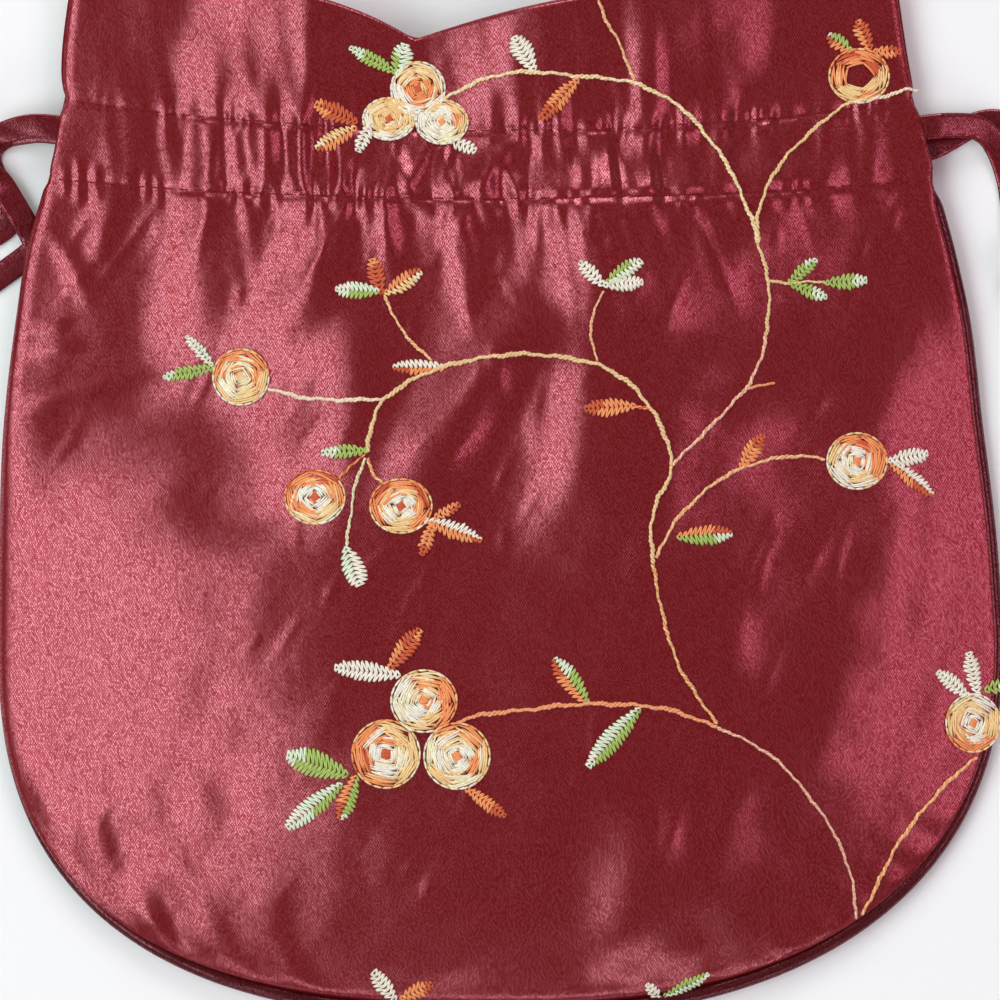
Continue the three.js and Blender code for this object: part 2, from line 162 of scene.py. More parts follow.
sections = np.array([
    (-25.0, 90.9, 90.9, 1.75, 15.7, 1.1, 0.0),
    (-6.0, 90.7, 89.5, 1.75, 15.9, 1.1, 0.0),
    (14.0, 89.8, 87.0, 1.9, 15.3, 1.1, 0.5),
    (33.0, 87.5, 84.6, 2.6, 13.7, 1.1, 1.5),
    (46.0, 85.3, 81.6, 3.2, 12.0, 1.1, 3.0),
    (54.0, 83.0, 79.4, 3.5, 11.3, 1.2, 3.8),
    (57.5, 82.0, 78.5, 3.6, 11.2, 1.4, 4.0),
    (59.8, 81.2, 77.7, 3.7, 11.2, 2.0, 4.4),
    (69.4, 79.4, 75.1, 3.7, 11.2, 2.0, 5.7),
    (71.7, 79.0, 74.6, 3.7, 11.2, 1.4, 6.0),
    (77.0, 79.2, 73.6, 3.7, 11.3, 1.3, 5.0),
    (94.2, 77.4, 71.0, 3.7, 12.1, 1.3, 0.0),
])


def sectionAt(y, column):
    rows = sections[:, 0]
    values = sections[:, sectionColumns.index(column)]
    slopes = np.gradient(values, rows)
    y = np.clip(y, rows[0], rows[-1])
    i = np.clip(np.searchsorted(rows, y) - 1, 0, len(rows) - 2)
    step = rows[i + 1] - rows[i]
    s = (y - rows[i]) / step
    rise = 3 * s**2 - 2 * s**3
    leave = (s - 2 * s**2 + s**3) * step * slopes[i]
    arrive = (s**3 - s**2) * step * slopes[i + 1]
    return mix(values[i], values[i + 1], rise) + leave + arrive


def bottomShare(y):
    reach = pouchShape["bellyY"] - pouchShape["bottomY"] - pouchShape["show"]
    return np.clip((pouchShape["bellyY"] - y) / reach, 0, 1)


def toStitches(y):
    return np.minimum(np.abs(y - pouchShape["lowerStitch"]), np.abs(y - pouchShape["upperStitch"]))


def halfWidth(y, side, inset):
    power = pouchShape["corner"][side]
    rounded = (1 - bottomShare(y) ** power) ** (1 / power)
    below = (pouchShape["halfWidth"] - inset) * rounded
    pinched = pouchShape["pinch"] * np.exp(-((toStitches(y) / pouchShape["pinchRun"]) ** 2))
    return np.where(y >= pouchShape["bellyY"], sectionAt(y, side) - inset - pinched, below)


def sideInsets(y, panel):
    if panel == "front":
        fadeFrom, fadeTo = pouchShape["insetFade"]
        overPiping = 1 - ease(y, pouchShape["pipingTop"] + fadeFrom, pouchShape["lowerStitch"] + fadeTo)
        return pouchShape["tuck"] + 0 * y, pouchShape["half"] * overPiping
    inset = pouchShape["show"] * (1 - ease(y, pouchShape["pipingTop"], pouchShape["lowerStitch"]))
    return inset, inset


def panelEdges(y, panel):  # x of the left and the right edge
    leftInset, rightInset = sideInsets(y, panel)
    return -halfWidth(y, "left", leftInset), halfWidth(y, "right", rightInset)


def cornerArc(side, inset, upInset, count):  # a bottom corner, from the belly to the tip
    power = pouchShape["corner"][side]
    angles = np.radians(np.linspace(0, 90, count))
    reach = pouchShape["bellyY"] - pouchShape["bottomY"] - upInset
    x = (pouchShape["halfWidth"] - inset) * np.cos(angles) ** (2 / power)
    return (-x if side == "left" else x), pouchShape["bellyY"] - reach * np.sin(angles) ** (2 / power)


def columnShare(x, y, panel):  # -1 at the left edge, 1 at the right
    leftInset, rightInset = sideInsets(y, panel)
    width = np.where(x < 0, halfWidth(y, "left", leftInset), halfWidth(y, "right", rightInset))
    return np.clip(x / np.maximum(width, 1e-6), -1, 1)


def edgeShare(u, y):  # 0 in the middle, 1 at the edge
    power = np.where(u < 0, pouchShape["corner"]["left"], pouchShape["corner"]["right"])
    share = bottomShare(y)
    across = np.abs(u) * (1 - share**power) ** (1 / power)
    return (across**power + share**power) ** (1 / power)


def rowDrop(x, y, u):  # rows bow down, and the header follows the dip of the mouth
    dip = pouchShape["dip"]
    away = x - dip["x"]
    depth = dip["depth"] * np.exp(-np.abs(away) / np.where(away < 0, dip["left"], dip["right"]))
    headerTall = pouchShape["mouthY"] - pouchShape["upperStitch"]
    header = np.clip((y - pouchShape["upperStitch"]) / headerTall, 0, 1)
    return (sectionAt(y, "sag") + depth * header) * (1 - u * u)


# Gathers along the channel: crest, height, width of the left and right flank, reach down and up, lean
gathers = np.array([
    (-66.0, 0.4, 4.0, 4.0, 6.0, 6.0, -0.3),
    (-51.7, 1.5, 4.4, 2.0, 12.0, 16.0, -0.3),
    (-48.2, 0.7, 2.0, 1.6, 6.0, 5.0, -0.2),
    (-42.5, 1.3, 3.6, 2.2, 8.0, 7.0, -0.2),
    (-35.1, 1.2, 2.8, 1.2, 6.0, 6.0, -0.1),
    (-32.6, 0.6, 1.3, 1.2, 4.0, 3.0, 0.0),
    (-28.8, 1.2, 2.4, 1.7, 7.0, 6.0, -0.1),
    (-23.6, 0.9, 1.8, 1.4, 5.0, 4.0, 0.0),
    (-20.2, 1.0, 1.9, 1.5, 9.0, 4.0, 0.0),
    (-13.9, 1.4, 3.0, 1.7, 5.0, 12.0, 0.3),
    (-8.6, 1.1, 2.6, 1.0, 6.0, 5.0, 0.0),
    (-6.4, 0.6, 1.0, 1.0, 5.0, 5.0, 0.0),
    (-2.3, 1.3, 3.2, 1.7, 7.0, 9.0, 0.3),
    (3.4, 1.2, 3.0, 1.4, 6.0, 5.0, 0.1),
    (7.0, 0.8, 1.8, 1.4, 4.0, 4.0, 0.0),
    (10.8, 1.2, 2.3, 1.7, 6.0, 7.0, -0.1),
    (16.6, 1.2, 3.2, 1.3, 8.0, 4.0, -0.2),
    (19.0, 0.8, 1.7, 1.7, 5.0, 8.0, 0.0),
    (26.3, 1.2, 3.8, 2.2, 6.0, 7.0, 0.0),
    (33.0, 1.1, 2.6, 2.2, 6.0, 5.0, 0.1),
    (39.5, 1.0, 2.2, 2.2, 5.0, 6.0, 0.1),
    (47.5, 1.3, 2.8, 3.0, 7.0, 6.0, 0.2),
    (52.5, 0.8, 1.8, 2.4, 5.0, 5.0, 0.2),
    (58.5, 1.1, 2.6, 3.2, 6.0, 6.0, 0.3),
    (66.0, 0.8, 2.2, 3.0, 5.0, 7.0, 0.3),
])
# Soft folds: ends of the crest line, its bow, height, left and right flank, wider at the far end by
folds = np.array([
    (-49.0, 64.0, -55.0, 22.0, -1.0, 1.1, 5.0, 4.5, 1.3),
    (-25.0, 62.0, -46.0, 20.0, 1.5, 1.1, 7.0, 5.0, 0.8),
    (-20.2, 62.0, -20.0, 42.0, 0.0, 0.7, 2.6, 3.0, 1.5),
    (-7.0, 62.0, -6.0, 36.0, 0.0, 1.1, 5.0, 4.5, 0.6),
    (18.0, 63.0, 12.0, -7.0, 3.0, 4.1, 12.0, 27.0, 0.75),
    (19.5, 64.0, 19.0, 35.0, 0.0, 2.3, 10.0, 36.0, 1.0),
    (5.5, 37.0, -17.0, 2.0, 0.5, 2.5, 6.2, 6.5, 1.1),
    (-51.0, 26.0, -45.0, -8.0, 1.0, -3.4, 16.0, 13.0, 1.1),
    (-89.0, 15.0, -62.0, 22.5, 0.8, 0.6, 1.6, 1.6, 1.0),
    (-87.0, 25.0, -76.0, 27.5, 0.4, 0.6, 1.2, 1.6, 1.0),
    (-86.5, 31.0, -78.0, 31.5, -0.4, 0.5, 1.2, 1.3, 1.0),
    (-83.0, 50.0, -74.0, 36.0, 0.6, 0.5, 1.6, 2.2, 1.2),
    (-70.0, 57.0, -73.0, 42.0, 0.4, 0.5, 2.0, 2.2, 1.3),
    (-45.5, 100.0, -47.5, 74.0, 0.0, 0.45, 4.0, 4.0, 1.0),
    (-33.0, 98.0, -36.0, 74.0, 0.4, 0.4, 3.0, 3.0, 1.0),
    (-27.0, 38.0, -30.0, 0.0, 1.5, 1.1, 9.0, 6.0, 1.0),
    (31.0, 2.0, 23.0, -16.0, 0.0, 0.5, 4.0, 4.0, 1.0),
    (42.0, -18.0, 40.5, -32.0, 0.0, 0.6, 4.5, 3.5, 1.0),
    (72.7, 34.0, 63.0, 4.0, 1.0, 0.9, 6.0, 9.0, 1.0),
    (71.0, 2.0, 67.5, -26.0, 0.5, 0.8, 12.0, 4.0, 1.0),
    (78.5, 4.0, 76.0, -27.0, -0.5, 0.35, 3.5, 3.5, 1.0),
    (66.0, -25.0, 50.0, -56.0, 1.0, 0.9, 7.0, 9.0, 1.0),
    (28.0, -54.0, 21.0, -86.0, 1.0, 1.6, 8.0, 6.0, 1.0),
    (43.0, -48.0, 36.5, -74.0, 0.0, 1.0, 5.0, 4.5, 1.0),
    (-15.5, 98.0, -14.0, 68.0, 0.0, -1.2, 8.0, 9.0, 1.0),
    (-38.5, 100.0, -40.0, 68.0, 0.0, 0.6, 7.0, 8.0, 1.0),
    (8.0, 100.0, 5.0, 68.0, 0.0, 2.8, 12.0, 10.0, 1.0),
    (26.5, 100.0, 25.5, 66.0, 0.0, 1.5, 5.0, 6.0, 1.0),
    (42.0, 100.0, 38.0, 70.0, 0.0, 0.5, 8.0, 8.0, 1.0),
    (-78.9, 60.5, -78.3, 55.0, 0.0, 1.0, 0.9, 0.8, 1.0),
    (-75.9, 61.5, -76.3, 54.5, 0.0, 0.6, 0.9, 0.9, 1.0),
    (-72.9, 60.5, -72.5, 54.0, 0.0, 0.4, 1.0, 0.9, 1.0),
    (-35.5, 73.0, -36.5, 58.4, 0.0, 0.7, 2.2, 1.3, 1.0),
    (-25.6, 70.0, -30.2, 57.0, 0.3, 0.65, 1.8, 1.2, 1.3),
    (-19.6, 69.0, -21.3, 56.0, 0.3, 0.6, 1.5, 1.0, 1.2),
    (-12.4, 71.5, -17.2, 59.0, 0.3, 0.75, 2.2, 1.3, 0.9),
    (-18.6, 67.0, -14.6, 55.0, 0.0, 0.5, 1.6, 1.1, 1.0),
    (-9.2, 69.0, -12.6, 55.5, 0.0, 0.55, 1.5, 1.0, 1.2),
    (-10.1, 67.5, -8.9, 57.6, 0.2, 0.3, 0.8, 0.8, 1.0),
    (-7.3, 66.2, -8.2, 58.0, -0.1, 0.3, 0.7, 0.7, 1.0),
    (1.6, 69.6, -4.6, 59.6, 0.4, 0.85, 2.8, 1.6, 1.1),
    (-0.8, 68.0, 3.4, 57.5, 0.0, 0.7, 2.0, 1.3, 1.0),
])
creases = {
    "gather": 0.92,  # share of the gathers' heights
    "pinchShare": 0.8,  # share of a gather's height left at a stitch line
    "pinchRun": 1.6,
    "gatherSpread": 0.07,
    "groove": 0.19,  # depth of a stitch line
    "grooveRun": 0.7,
    "pucker": 0.25,  # at each stitch of a stitch line
    "puckerRun": 2.2,
    "puckerWaves": (9.0, 60.0),
    "puckerGroups": (13.0, 17.0),  # the puckers come in uneven groups
    "groupFade": (-0.7, 1.1),
    "pleat": 0.2,  # small pleats beside the stitch lines
    "pleatRun": 9.0,
    "pleatLean": 0.1,
    "pleatWaves": (4.6, 40.0),
    "pleatSpan": (-10.0, 70.0, 35.0),  # middle, half width and fade
    "wrinkles": 90,  # short thin wrinkles, mostly along one slant
    "wrinkleField": ((-80.0, -75.0), (80.0, 60.0)),
    "wrinkleHeight": 0.12,
    "wrinkleUneven": (0.5, 1.5),
    "wrinkleHalf": 0.8,
    "wrinkleBend": 0.02,
    "wrinkleLength": (4.0, 12.0),
    "wrinkleSlant": (62.0, 16.0),  # degrees: mean and spread
    "neckWrinkles": 70,  # below the channel
    "neckWrinkle": 0.23,
    "neckUneven": (-0.6, 1.3),
    "neckPlace": (-12.0, 34.0),  # x: mean and spread
    "neckDrop": 9.0,  # mean way below the stitches
    "neckFan": 0.35,  # degrees for each mm from the middle
    "neckTurn": 10.0,
    "neckLength": (7.0, 20.0),
    "neckHalf": (0.7, 1.5),
    "seamPucker": 0.22,  # along the piping
    "seamPitch": 6.5,
    "seamFade": 2.0,
    "seamRun": 3.4,
    "seamZone": ((-10.0, 40.0), (10.0, 50.0)),  # fades in over x and over -y
    "seamCentre": -10.0,
    "bottomFold": 0.38,  # short soft folds that rise from the bottom's left
    "bottomPitch": 10.0,
    "bottomLength": 34.0,
    "bottomLean": 0.2,
    "bottomFade": 4.0,
    "bottomRun": 21.0,
    "bottomZone": ((15.0, 40.0), (40.0, 60.0)),  # fades in over -x and over -y
}
sewing = {
    "pitch": 2.7,
    "stitch": 2.1,
    "radius": 0.14,
    "ends": (1.5, 3.0),  # bare at the left and the right
    "points": 6,
    "lift": 0.12,
    "dip": 0.25,  # of a stitch's ends
}


def gatherHeight(x, y):
    below = np.maximum(0, pouchShape["lowerStitch"] - y)
    above = np.maximum(0, y - pouchShape["upperStitch"])
    toStitch = toStitches(y)
    pinch = mix(creases["pinchShare"], 1, ease(toStitch, 0, creases["pinchRun"]))
    total = 0 * x
    for crest, height, left, right, down, up, lean in gathers:
        fade = np.exp(-((below / down) ** 2) - (above / up) ** 2)
        aside = x - crest - lean * below
        half = np.where(aside < 0, left, right) * (1 + creases["gatherSpread"] * (below + above))
        total += creases["gather"] * height * fade * np.exp(-((aside / half) ** 2))
    pleats = creases["pleat"] * waves(x + creases["pleatLean"] * y, y, *creases["pleatWaves"], 11)
    pleats *= np.exp(-(below + above) / creases["pleatRun"])
    centre, reach, run = creases["pleatSpan"]
    middle = ease(reach - np.abs(x - centre), 0, run)
    swing = waves(x, y, *creases["puckerWaves"], 12)
    groups = ease(waves(x, y, *creases["puckerGroups"], 13), *creases["groupFade"])
    puckers = creases["pucker"] * np.cos(2 * np.pi * x / sewing["pitch"] + swing)
    puckers *= np.exp(-((toStitch / creases["puckerRun"]) ** 2)) * groups
    groove = creases["groove"] * np.exp(-((toStitch / creases["grooveRun"]) ** 2))
    return (total + pleats * middle) * pinch + puckers - groove


def foldHeight(x, y):
    total = 0 * x
    for fromX, fromY, toX, toY, bow, height, left, right, flare in folds:
        run = np.hypot(toX - fromX, toY - fromY)
        alongX, alongY = (toX - fromX) / run, (toY - fromY) / run
        along = ((x - fromX) * alongX + (y - fromY) * alongY) / run
        aside = (y - fromY) * alongX - (x - fromX) * alongY
        aside -= bow * (1 - (2 * along - 1) ** 2)
        half = np.where(aside < 0, left, right) * mix(1, flare, np.clip(along, 0, 1))
        total += height * np.exp(-((aside / half) ** 2) - (2 * along - 1) ** 4)
    return total


def wrinkle(x, y, slant, half, length, bend=0.0):
    along = x * np.cos(slant) + y * np.sin(slant)
    aside = y * np.cos(slant) - x * np.sin(slant)
    aside += creases["wrinkleBend"] * along**2 * bend
    return np.exp(-((aside / half) ** 2) - (2 * along / length) ** 2)


def wrinkleHeight(x, y):
    draw = np.random.default_rng(31)
    total = 0 * x
    for _ in range(creases["wrinkles"]):
        atX, atY = draw.uniform(*creases["wrinkleField"])
        slant = np.radians(draw.normal(*creases["wrinkleSlant"]))
        length = draw.uniform(*creases["wrinkleLength"])
        near = wrinkle(x - atX, y - atY, slant, creases["wrinkleHalf"], length, draw.uniform(-1, 1))
        total += creases["wrinkleHeight"] * draw.uniform(*creases["wrinkleUneven"]) * near
    for _ in range(creases["neckWrinkles"]):
        atX, drop = draw.normal(*creases["neckPlace"]), draw.exponential(creases["neckDrop"])
        slant = np.radians(90 + creases["neckFan"] * atX + draw.normal(0, creases["neckTurn"]))
        length = draw.uniform(*creases["neckLength"])
        upY = y - pouchShape["lowerStitch"] + drop
        near = wrinkle(x - atX, upY, slant, draw.uniform(*creases["neckHalf"]), length)
        total += creases["neckWrinkle"] * draw.uniform(*creases["neckUneven"]) * near
    return total


# Slow and fine unevenness: height, length of the waves across and along, seed, count
unevenness = ((0.2, 46.0, 52.0, 3, 20), (0.05, 11.0, 15.0, 5, 28), (0.007, 3.6, 4.6, 6, 28))


def clothRelief(x, y):
    uneven = 0 * x
    for height, across, along, seed, count in unevenness:
        uneven += height * waves(x, y, across, along, seed, count)
    return gatherHeight(x, y) + foldHeight(x, y) + wrinkleHeight(x, y) + uneven


frontEdge = {
    "span": 80.0,  # about the way from the edge to the middle
    "roll": 2.6,  # width of the rounded edge
    "rows": (52.0, 58.0, 66.0, 78.0),  # y at which the next two rows change
    "shoulder": (2.0, 2.0, 2.0, 1.5),  # height of the edge's shoulder over the seam
    "rim": (None, 1.8, 1.8, 0.35),  # height of the edge itself; beside the piping it follows that
    "rimRows": (53.0, 58.0),  # between these the edge leaves the piping
    "pipingRadius": 1.4,
    "pipingInset": 1.55,
    "overPiping": 0.3,
    "besidePiping": 0.2,
    "lip": 0.8,  # width of the fold along the mouth
    "lipDrop": 0.35,
    "reliefRun": 9.0,  # the relief fades out this near the edge
    "channelFade": 2.5,
    "sideBlend": 0.5,  # share of the half width in which the left's shape turns into the right's
    "headerRise": (0.25, 0.57),  # share of the half width in which the gathered middle rises
    "headerLow": 0.12,
    "headerTop": 0.68,
    "neckShare": 0.95,
    "neckSoft": {"left": 0.65, "right": 0.15},  # share of a soft rise in it, against a straight one
    "neckRise": {"left": (0.25, 0.72), "right": (0.0, 1.0)},
    "neckY": 21.0,  # where the full belly turns into the flatter neck, in the middle
    "neckSlant": 0.12,
    "neckWaves": (2.5, 34.0),
    "neckHalf": 14.0,
}


def pipingEdge(u, y):  # height of the front's edge over the seam, on or beside the piping
    power = np.where(u < 0, pouchShape["corner"]["left"], pouchShape["corner"]["right"])
    share = bottomShare(y)
    across = np.maximum(1 - share**power, 1e-9) ** ((power - 1) / power)
    down = share ** (power - 1)
    toBottom = down**2 / (across**2 + down**2)
    inset = mix(np.where(u < 0, pouchShape["tuck"], pouchShape["half"]), pouchShape["show"], toBottom)
    crown = np.maximum(frontEdge["pipingRadius"] ** 2 - (inset - frontEdge["pipingInset"]) ** 2, 0) ** 0.5
    return np.maximum(crown + frontEdge["overPiping"], frontEdge["besidePiping"])


def crownAt(x, y, u, edge):  # share of the pouch's full height
    blend = frontEdge["sideBlend"]
    toRight = ease(u, -blend, blend)
    crownShare = mix(pouchShape["crownShare"]["left"], pouchShape["crownShare"]["right"], toRight)
    bellyCrown = np.sin(np.pi / 2 * np.clip((1 - edge) / crownShare, 0, 1))
    low, high = frontEdge["headerRise"]
    headerFlat = frontEdge["headerLow"] * np.clip((1 - edge) / high, 0, 1)
    headerCrown = mix(headerFlat, frontEdge["headerTop"], ease(1 - edge, low, high))
    rises = zip(frontEdge["neckRise"]["left"], frontEdge["neckRise"]["right"])
    neckRise = ease(1 - edge, *(mix(left, right, toRight) for left, right in rises))
    neckSoft = mix(frontEdge["neckSoft"]["left"], frontEdge["neckSoft"]["right"], toRight)
    neckCrown = mix(np.clip((1 - edge) / frontEdge["neckShare"], 0, 1), neckRise, neckSoft)
    swing, length = frontEdge["neckWaves"]
    neckLine = frontEdge["neckY"] + frontEdge["neckSlant"] * x + swing * waves(x, 0 * x, length, length, 29)
    crown = mix(bellyCrown, neckCrown, ease(y - neckLine, -frontEdge["neckHalf"], frontEdge["neckHalf"]))
    return mix(crown, headerCrown, ease(y, pouchShape["lowerStitch"], pouchShape["upperStitch"]))


def seamFolds(x, y, aside):  # puckers along the piping, and short folds up from the bottom's left
    around = np.arctan2(y - creases["seamCentre"], x) * frontEdge["span"]
    overX, overY = creases["seamZone"]
    near = ease(aside, 0, creases["seamFade"]) * np.exp(-aside / creases["seamRun"])
    near = near * ease(x, *overX) * ease(-y, *overY)
    pitch = creases["seamPitch"]
    total = creases["seamPucker"] * waves(around, 0 * around, pitch, pitch, 17) * near
    overX, overY = creases["bottomZone"]
    near = ease(aside, 0, creases["bottomFade"]) * np.exp(-((aside / creases["bottomRun"]) ** 2))
    near = near * ease(-x, *overX) * ease(-y, *overY)
    across = x + creases["bottomLean"] * y
    rises = waves(across, y, creases["bottomPitch"], creases["bottomLength"], 23)
    return total + creases["bottomFold"] * rises * near


def frontAt(x, y):  # height of the front's outer side and of its facing, and the row's drop
    u = columnShare(x, y, "front")
    edge = edgeShare(u, y)
    aside = (1 - edge) * frontEdge["span"]
    shoulder = np.interp(y, frontEdge["rows"], frontEdge["shoulder"])
    upperRim = np.interp(y, frontEdge["rows"][1:], frontEdge["rim"][1:])
    rim = mix(pipingEdge(u, y), upperRim, ease(y, *frontEdge["rimRows"]))
    flat = mix(sectionAt(y, "seam") + shoulder, sectionAt(y, "top"), crownAt(x, y, u, edge))
    rounded = 1 - np.sqrt(1 - np.clip(1 - aside / frontEdge["roll"], 0, 1) ** 2)
    relief = clothRelief(x, y) * ease(aside, 0, frontEdge["reliefRun"]) + seamFolds(x, y, aside)
    lipShare = np.clip((y - pouchShape["mouthY"]) / frontEdge["lip"] + 1, 0, 1)
    lip = frontEdge["lipDrop"] * (1 - np.sqrt(1 - lipShare**2))
    over = flat + relief - (shoulder - rim) * rounded - lip
    lower, upper, fade = pouchShape["lowerStitch"], pouchShape["upperStitch"], frontEdge["channelFade"]
    inChannel = ease(y, lower, lower + fade) * (1 - ease(y, upper - fade, upper))
    under = flat - sectionAt(y, "wall") + mix(relief, np.minimum(relief, 0), inChannel) + lip
    return over, under, rowDrop(x, y, u)


heightMap = {"reach": 95.0, "step": 0.5, "rounds": 5}


def readHeights():  # the front's outer side on an even grid of places seen from above
    line = np.arange(-heightMap["reach"], heightMap["reach"] + heightMap["step"], heightMap["step"])
    x, y = np.meshgrid(line, line)
    row = y
    for _ in range(heightMap["rounds"]):
        row = np.minimum(y + rowDrop(x, row, columnShare(x, row, "front")), pouchShape["mouthY"])
    return frontAt(x, row)[0]


frontHeights = readHeights()


def onFront(x, y):
    last = len(frontHeights) - 1.001  # just inside the last row
    column = np.clip((x + heightMap["reach"]) / heightMap["step"], 0, last)
    row = np.clip((y + heightMap["reach"]) / heightMap["step"], 0, last)
    i, j = row.astype(int), column.astype(int)
    low = mix(frontHeights[i, j], frontHeights[i, j + 1], column - j)
    high = mix(frontHeights[i + 1, j], frontHeights[i + 1, j + 1], column - j)
    return mix(low, high, row - i)


def backAt(x, y):
    u = columnShare(x, y, "back")
    settled = ease(1 - edgeShare(u, y), 0, pouchShape["settleShare"])
    wall = sectionAt(y, "wall")
    atSeam = np.maximum(sectionAt(y, "seam") - pouchShape["underSeam"] - wall, pouchShape["lift"])
    under = mix(atSeam, pouchShape["lift"], settled)
    groove = creases["groove"] * np.exp(-((toStitches(y) / creases["grooveRun"]) ** 2))
    return under + groove, under + wall, rowDrop(x, y, u)


# Materials
def linear(red, green, blue):  # from 0 to 255 as seen
    seen = np.array((red, green, blue)) / 255
    return (*np.where(seen < 0.04045, seen / 12.92, ((seen + 0.055) / 1.055) ** 2.4), 1.0)


def startMaterial(name):
    material = bpy.data.materials.new(name)
    material.use_nodes = True
    return material, material.node_tree.nodes, material.node_tree.links


def placedTexture(nodes, links, kind, turn, stretch, cells=False):
    place = nodes.new("ShaderNodeTexCoord")
    mapping = nodes.new("ShaderNodeMapping")
    mapping.vector_type = "TEXTURE"
    mapping.inputs["Rotation"].default_value = (0, 0, np.radians(turn))
    mapping.inputs["Scale"].default_value = stretch
    texture = nodes.new(kind)
    links.new(place.outputs["Object"], mapping.inputs["Vector"])
    spot = mapping.outputs["Vector"]
    if cells:
        cell = nodes.new("ShaderNodeVectorMath")
        cell.operation = "FLOOR"
        links.new(spot, cell.inputs[0])
        spot = cell.outputs["Vector"]
    links.new(spot, texture.inputs["Vector"])
    return texture


satinLook = {
    "dark": (121, 17, 20),
    "light": (143, 21, 25),
    "metal": 0.3,
    "glint": ((0.05, 0.014, 0.018, 1.0), (1.0, 0.54, 0.67, 1.0)),  # tint of the gloss, dull and bright yarn
    "ior": 3.0,
    "roughness": (0.2, 0.28),
    "sheen": 0.03,
    # turn in degrees, width and length in mm of a bit of yarn
    "floats": ((34.0, 0.15, 0.36), (-44.0, 0.15, 0.28)),
    "floatShare": 0.42,  # of the second turn
    "ribs": (31.0, -31.0),  # turn of the two sets of woven ribs
    "ribPitch": 0.39,
    "ribWobble": 0.6,
    "ribShare": 0.42,
    "clump": 3400.0,
    "clumpShare": 0.1,
    "contrast": (0.35, 0.65),
    "bump": 0.16,
    "bumpDepth": 0.1,
    "trim": 0.6,  # brightness of the piping and of the straps: painted shade, darker copies of the same satin, gloss included
    "strap": 0.82,
}


def blended(nodes, links, first, second, share):
    node = nodes.new("ShaderNodeMix")
    node.inputs["Factor"].default_value = share
    links.new(first, node.inputs["A"])
    links.new(second, node.inputs["B"])
    return node.outputs["Result"]


def colourRamp(nodes, links, value, places, colours):
    ramp = nodes.new("ShaderNodeValToRGB")
    for element, place, colour in zip(ramp.color_ramp.elements, places, colours):
        element.position = place
        element.color = colour
    links.new(value, ramp.inputs["Fac"])
    return ramp.outputs["Color"]


def addBump(nodes, links, height, look):
    bump = nodes.new("ShaderNodeBump")
    bump.inputs["Strength"].default_value = look["bump"]
    bump.inputs["Distance"].default_value = look["bumpDepth"] * mm
    links.new(height, bump.inputs["Height"])
    links.new(bump.outputs["Normal"], nodes["Principled BSDF"].inputs["Normal"])


# A factor below 1 darkens the satin's colour and gloss alike: painted shade on a copy of the same cloth
def satinMaterial(name, paintedShadeFactor=1.0):
    material, nodes, links = startMaterial(name)
    shader = nodes["Principled BSDF"]
    shader.inputs["Metallic"].default_value = satinLook["metal"]
    shader.inputs["IOR"].default_value = satinLook["ior"]
    shader.inputs["Sheen Weight"].default_value = satinLook["sheen"]
    shader.inputs["Sheen Tint"].default_value = satinLook["glint"][1]
    floats = []
    for turn, width, length in satinLook["floats"]:
        stretch = (width * mm, length * mm, 1)
        bits = placedTexture(nodes, links, "ShaderNodeTexWhiteNoise", turn, stretch, True)
        floats.append(bits.outputs["Value"])
    clump = placedTexture(nodes, links, "ShaderNodeTexNoise", 0, (1, 1, 1))
    clump.inputs["Scale"].default_value = satinLook["clump"]
    clump.inputs["Detail"].default_value = 1.0
    ribs = []
    for turn in satinLook["ribs"]:
        rib = placedTexture(nodes, links, "ShaderNodeTexWave", turn, (satinLook["ribPitch"] * mm,) * 3)
        rib.inputs["Scale"].default_value = np.pi / 10  # one rib to a pitch
        rib.inputs["Distortion"].default_value = satinLook["ribWobble"]
        ribs.append(rib.outputs["Fac"])
    yarn = blended(nodes, links, *floats, satinLook["floatShare"])
    weave = blended(nodes, links, yarn, blended(nodes, links, *ribs, 0.5), satinLook["ribShare"])
    grain = blended(nodes, links, weave, clump.outputs["Fac"], satinLook["clumpShare"])
    body = [linear(*(np.array(satinLook[key]) * paintedShadeFactor)) for key in ("dark", "light")]
    links.new(colourRamp(nodes, links, grain, satinLook["contrast"], body), shader.inputs["Base Color"])
    glint = [(*(np.array(colour[:3]) * paintedShadeFactor), 1.0) for colour in satinLook["glint"]]
    links.new(colourRamp(nodes, links, grain, satinLook["contrast"], glint), shader.inputs["Specular Tint"])
    rough = nodes.new("ShaderNodeMapRange")
    rough.inputs["To Min"].default_value = satinLook["roughness"][1]
    rough.inputs["To Max"].default_value = satinLook["roughness"][0]
    links.new(grain, rough.inputs["Value"])
    links.new(rough.outputs["Result"], shader.inputs["Roughness"])
    addBump(nodes, links, clump.outputs["Fac"], satinLook)
    return material


threadColours = {
    "cream": (255, 234, 196),
    "peach": (255, 208, 146),
    "orange": (255, 156, 96),
    "rust": (208, 94, 54),
    "white": (254, 243, 222),
    "mint": (224, 241, 208),
    "green": (170, 196, 100),
    "tan": (246, 204, 152),
    "olive": (234, 202, 146),
    "salmon": (246, 168, 128),
    "pink": (248, 208, 184),
}
threadSlots = {name: i for i, name in enumerate(threadColours)}
threadLook = {
    "roughness": 0.48,
    "sheen": 0.5,
    "gloss": 0.5,
    "shade": (0.93, 1.08),  # darkest and brightest fibre
    "shadeAt": (0.3, 0.7),
    "fibre": 2600.0,
    "fibreTurn": 35.0,
    "fibreStretch": (1, 3, 1),
    "bump": 0.3,
    "bumpDepth": 0.05,
    "sewing": (128, 22, 30),
    "sewingGloss": 0.15,
}


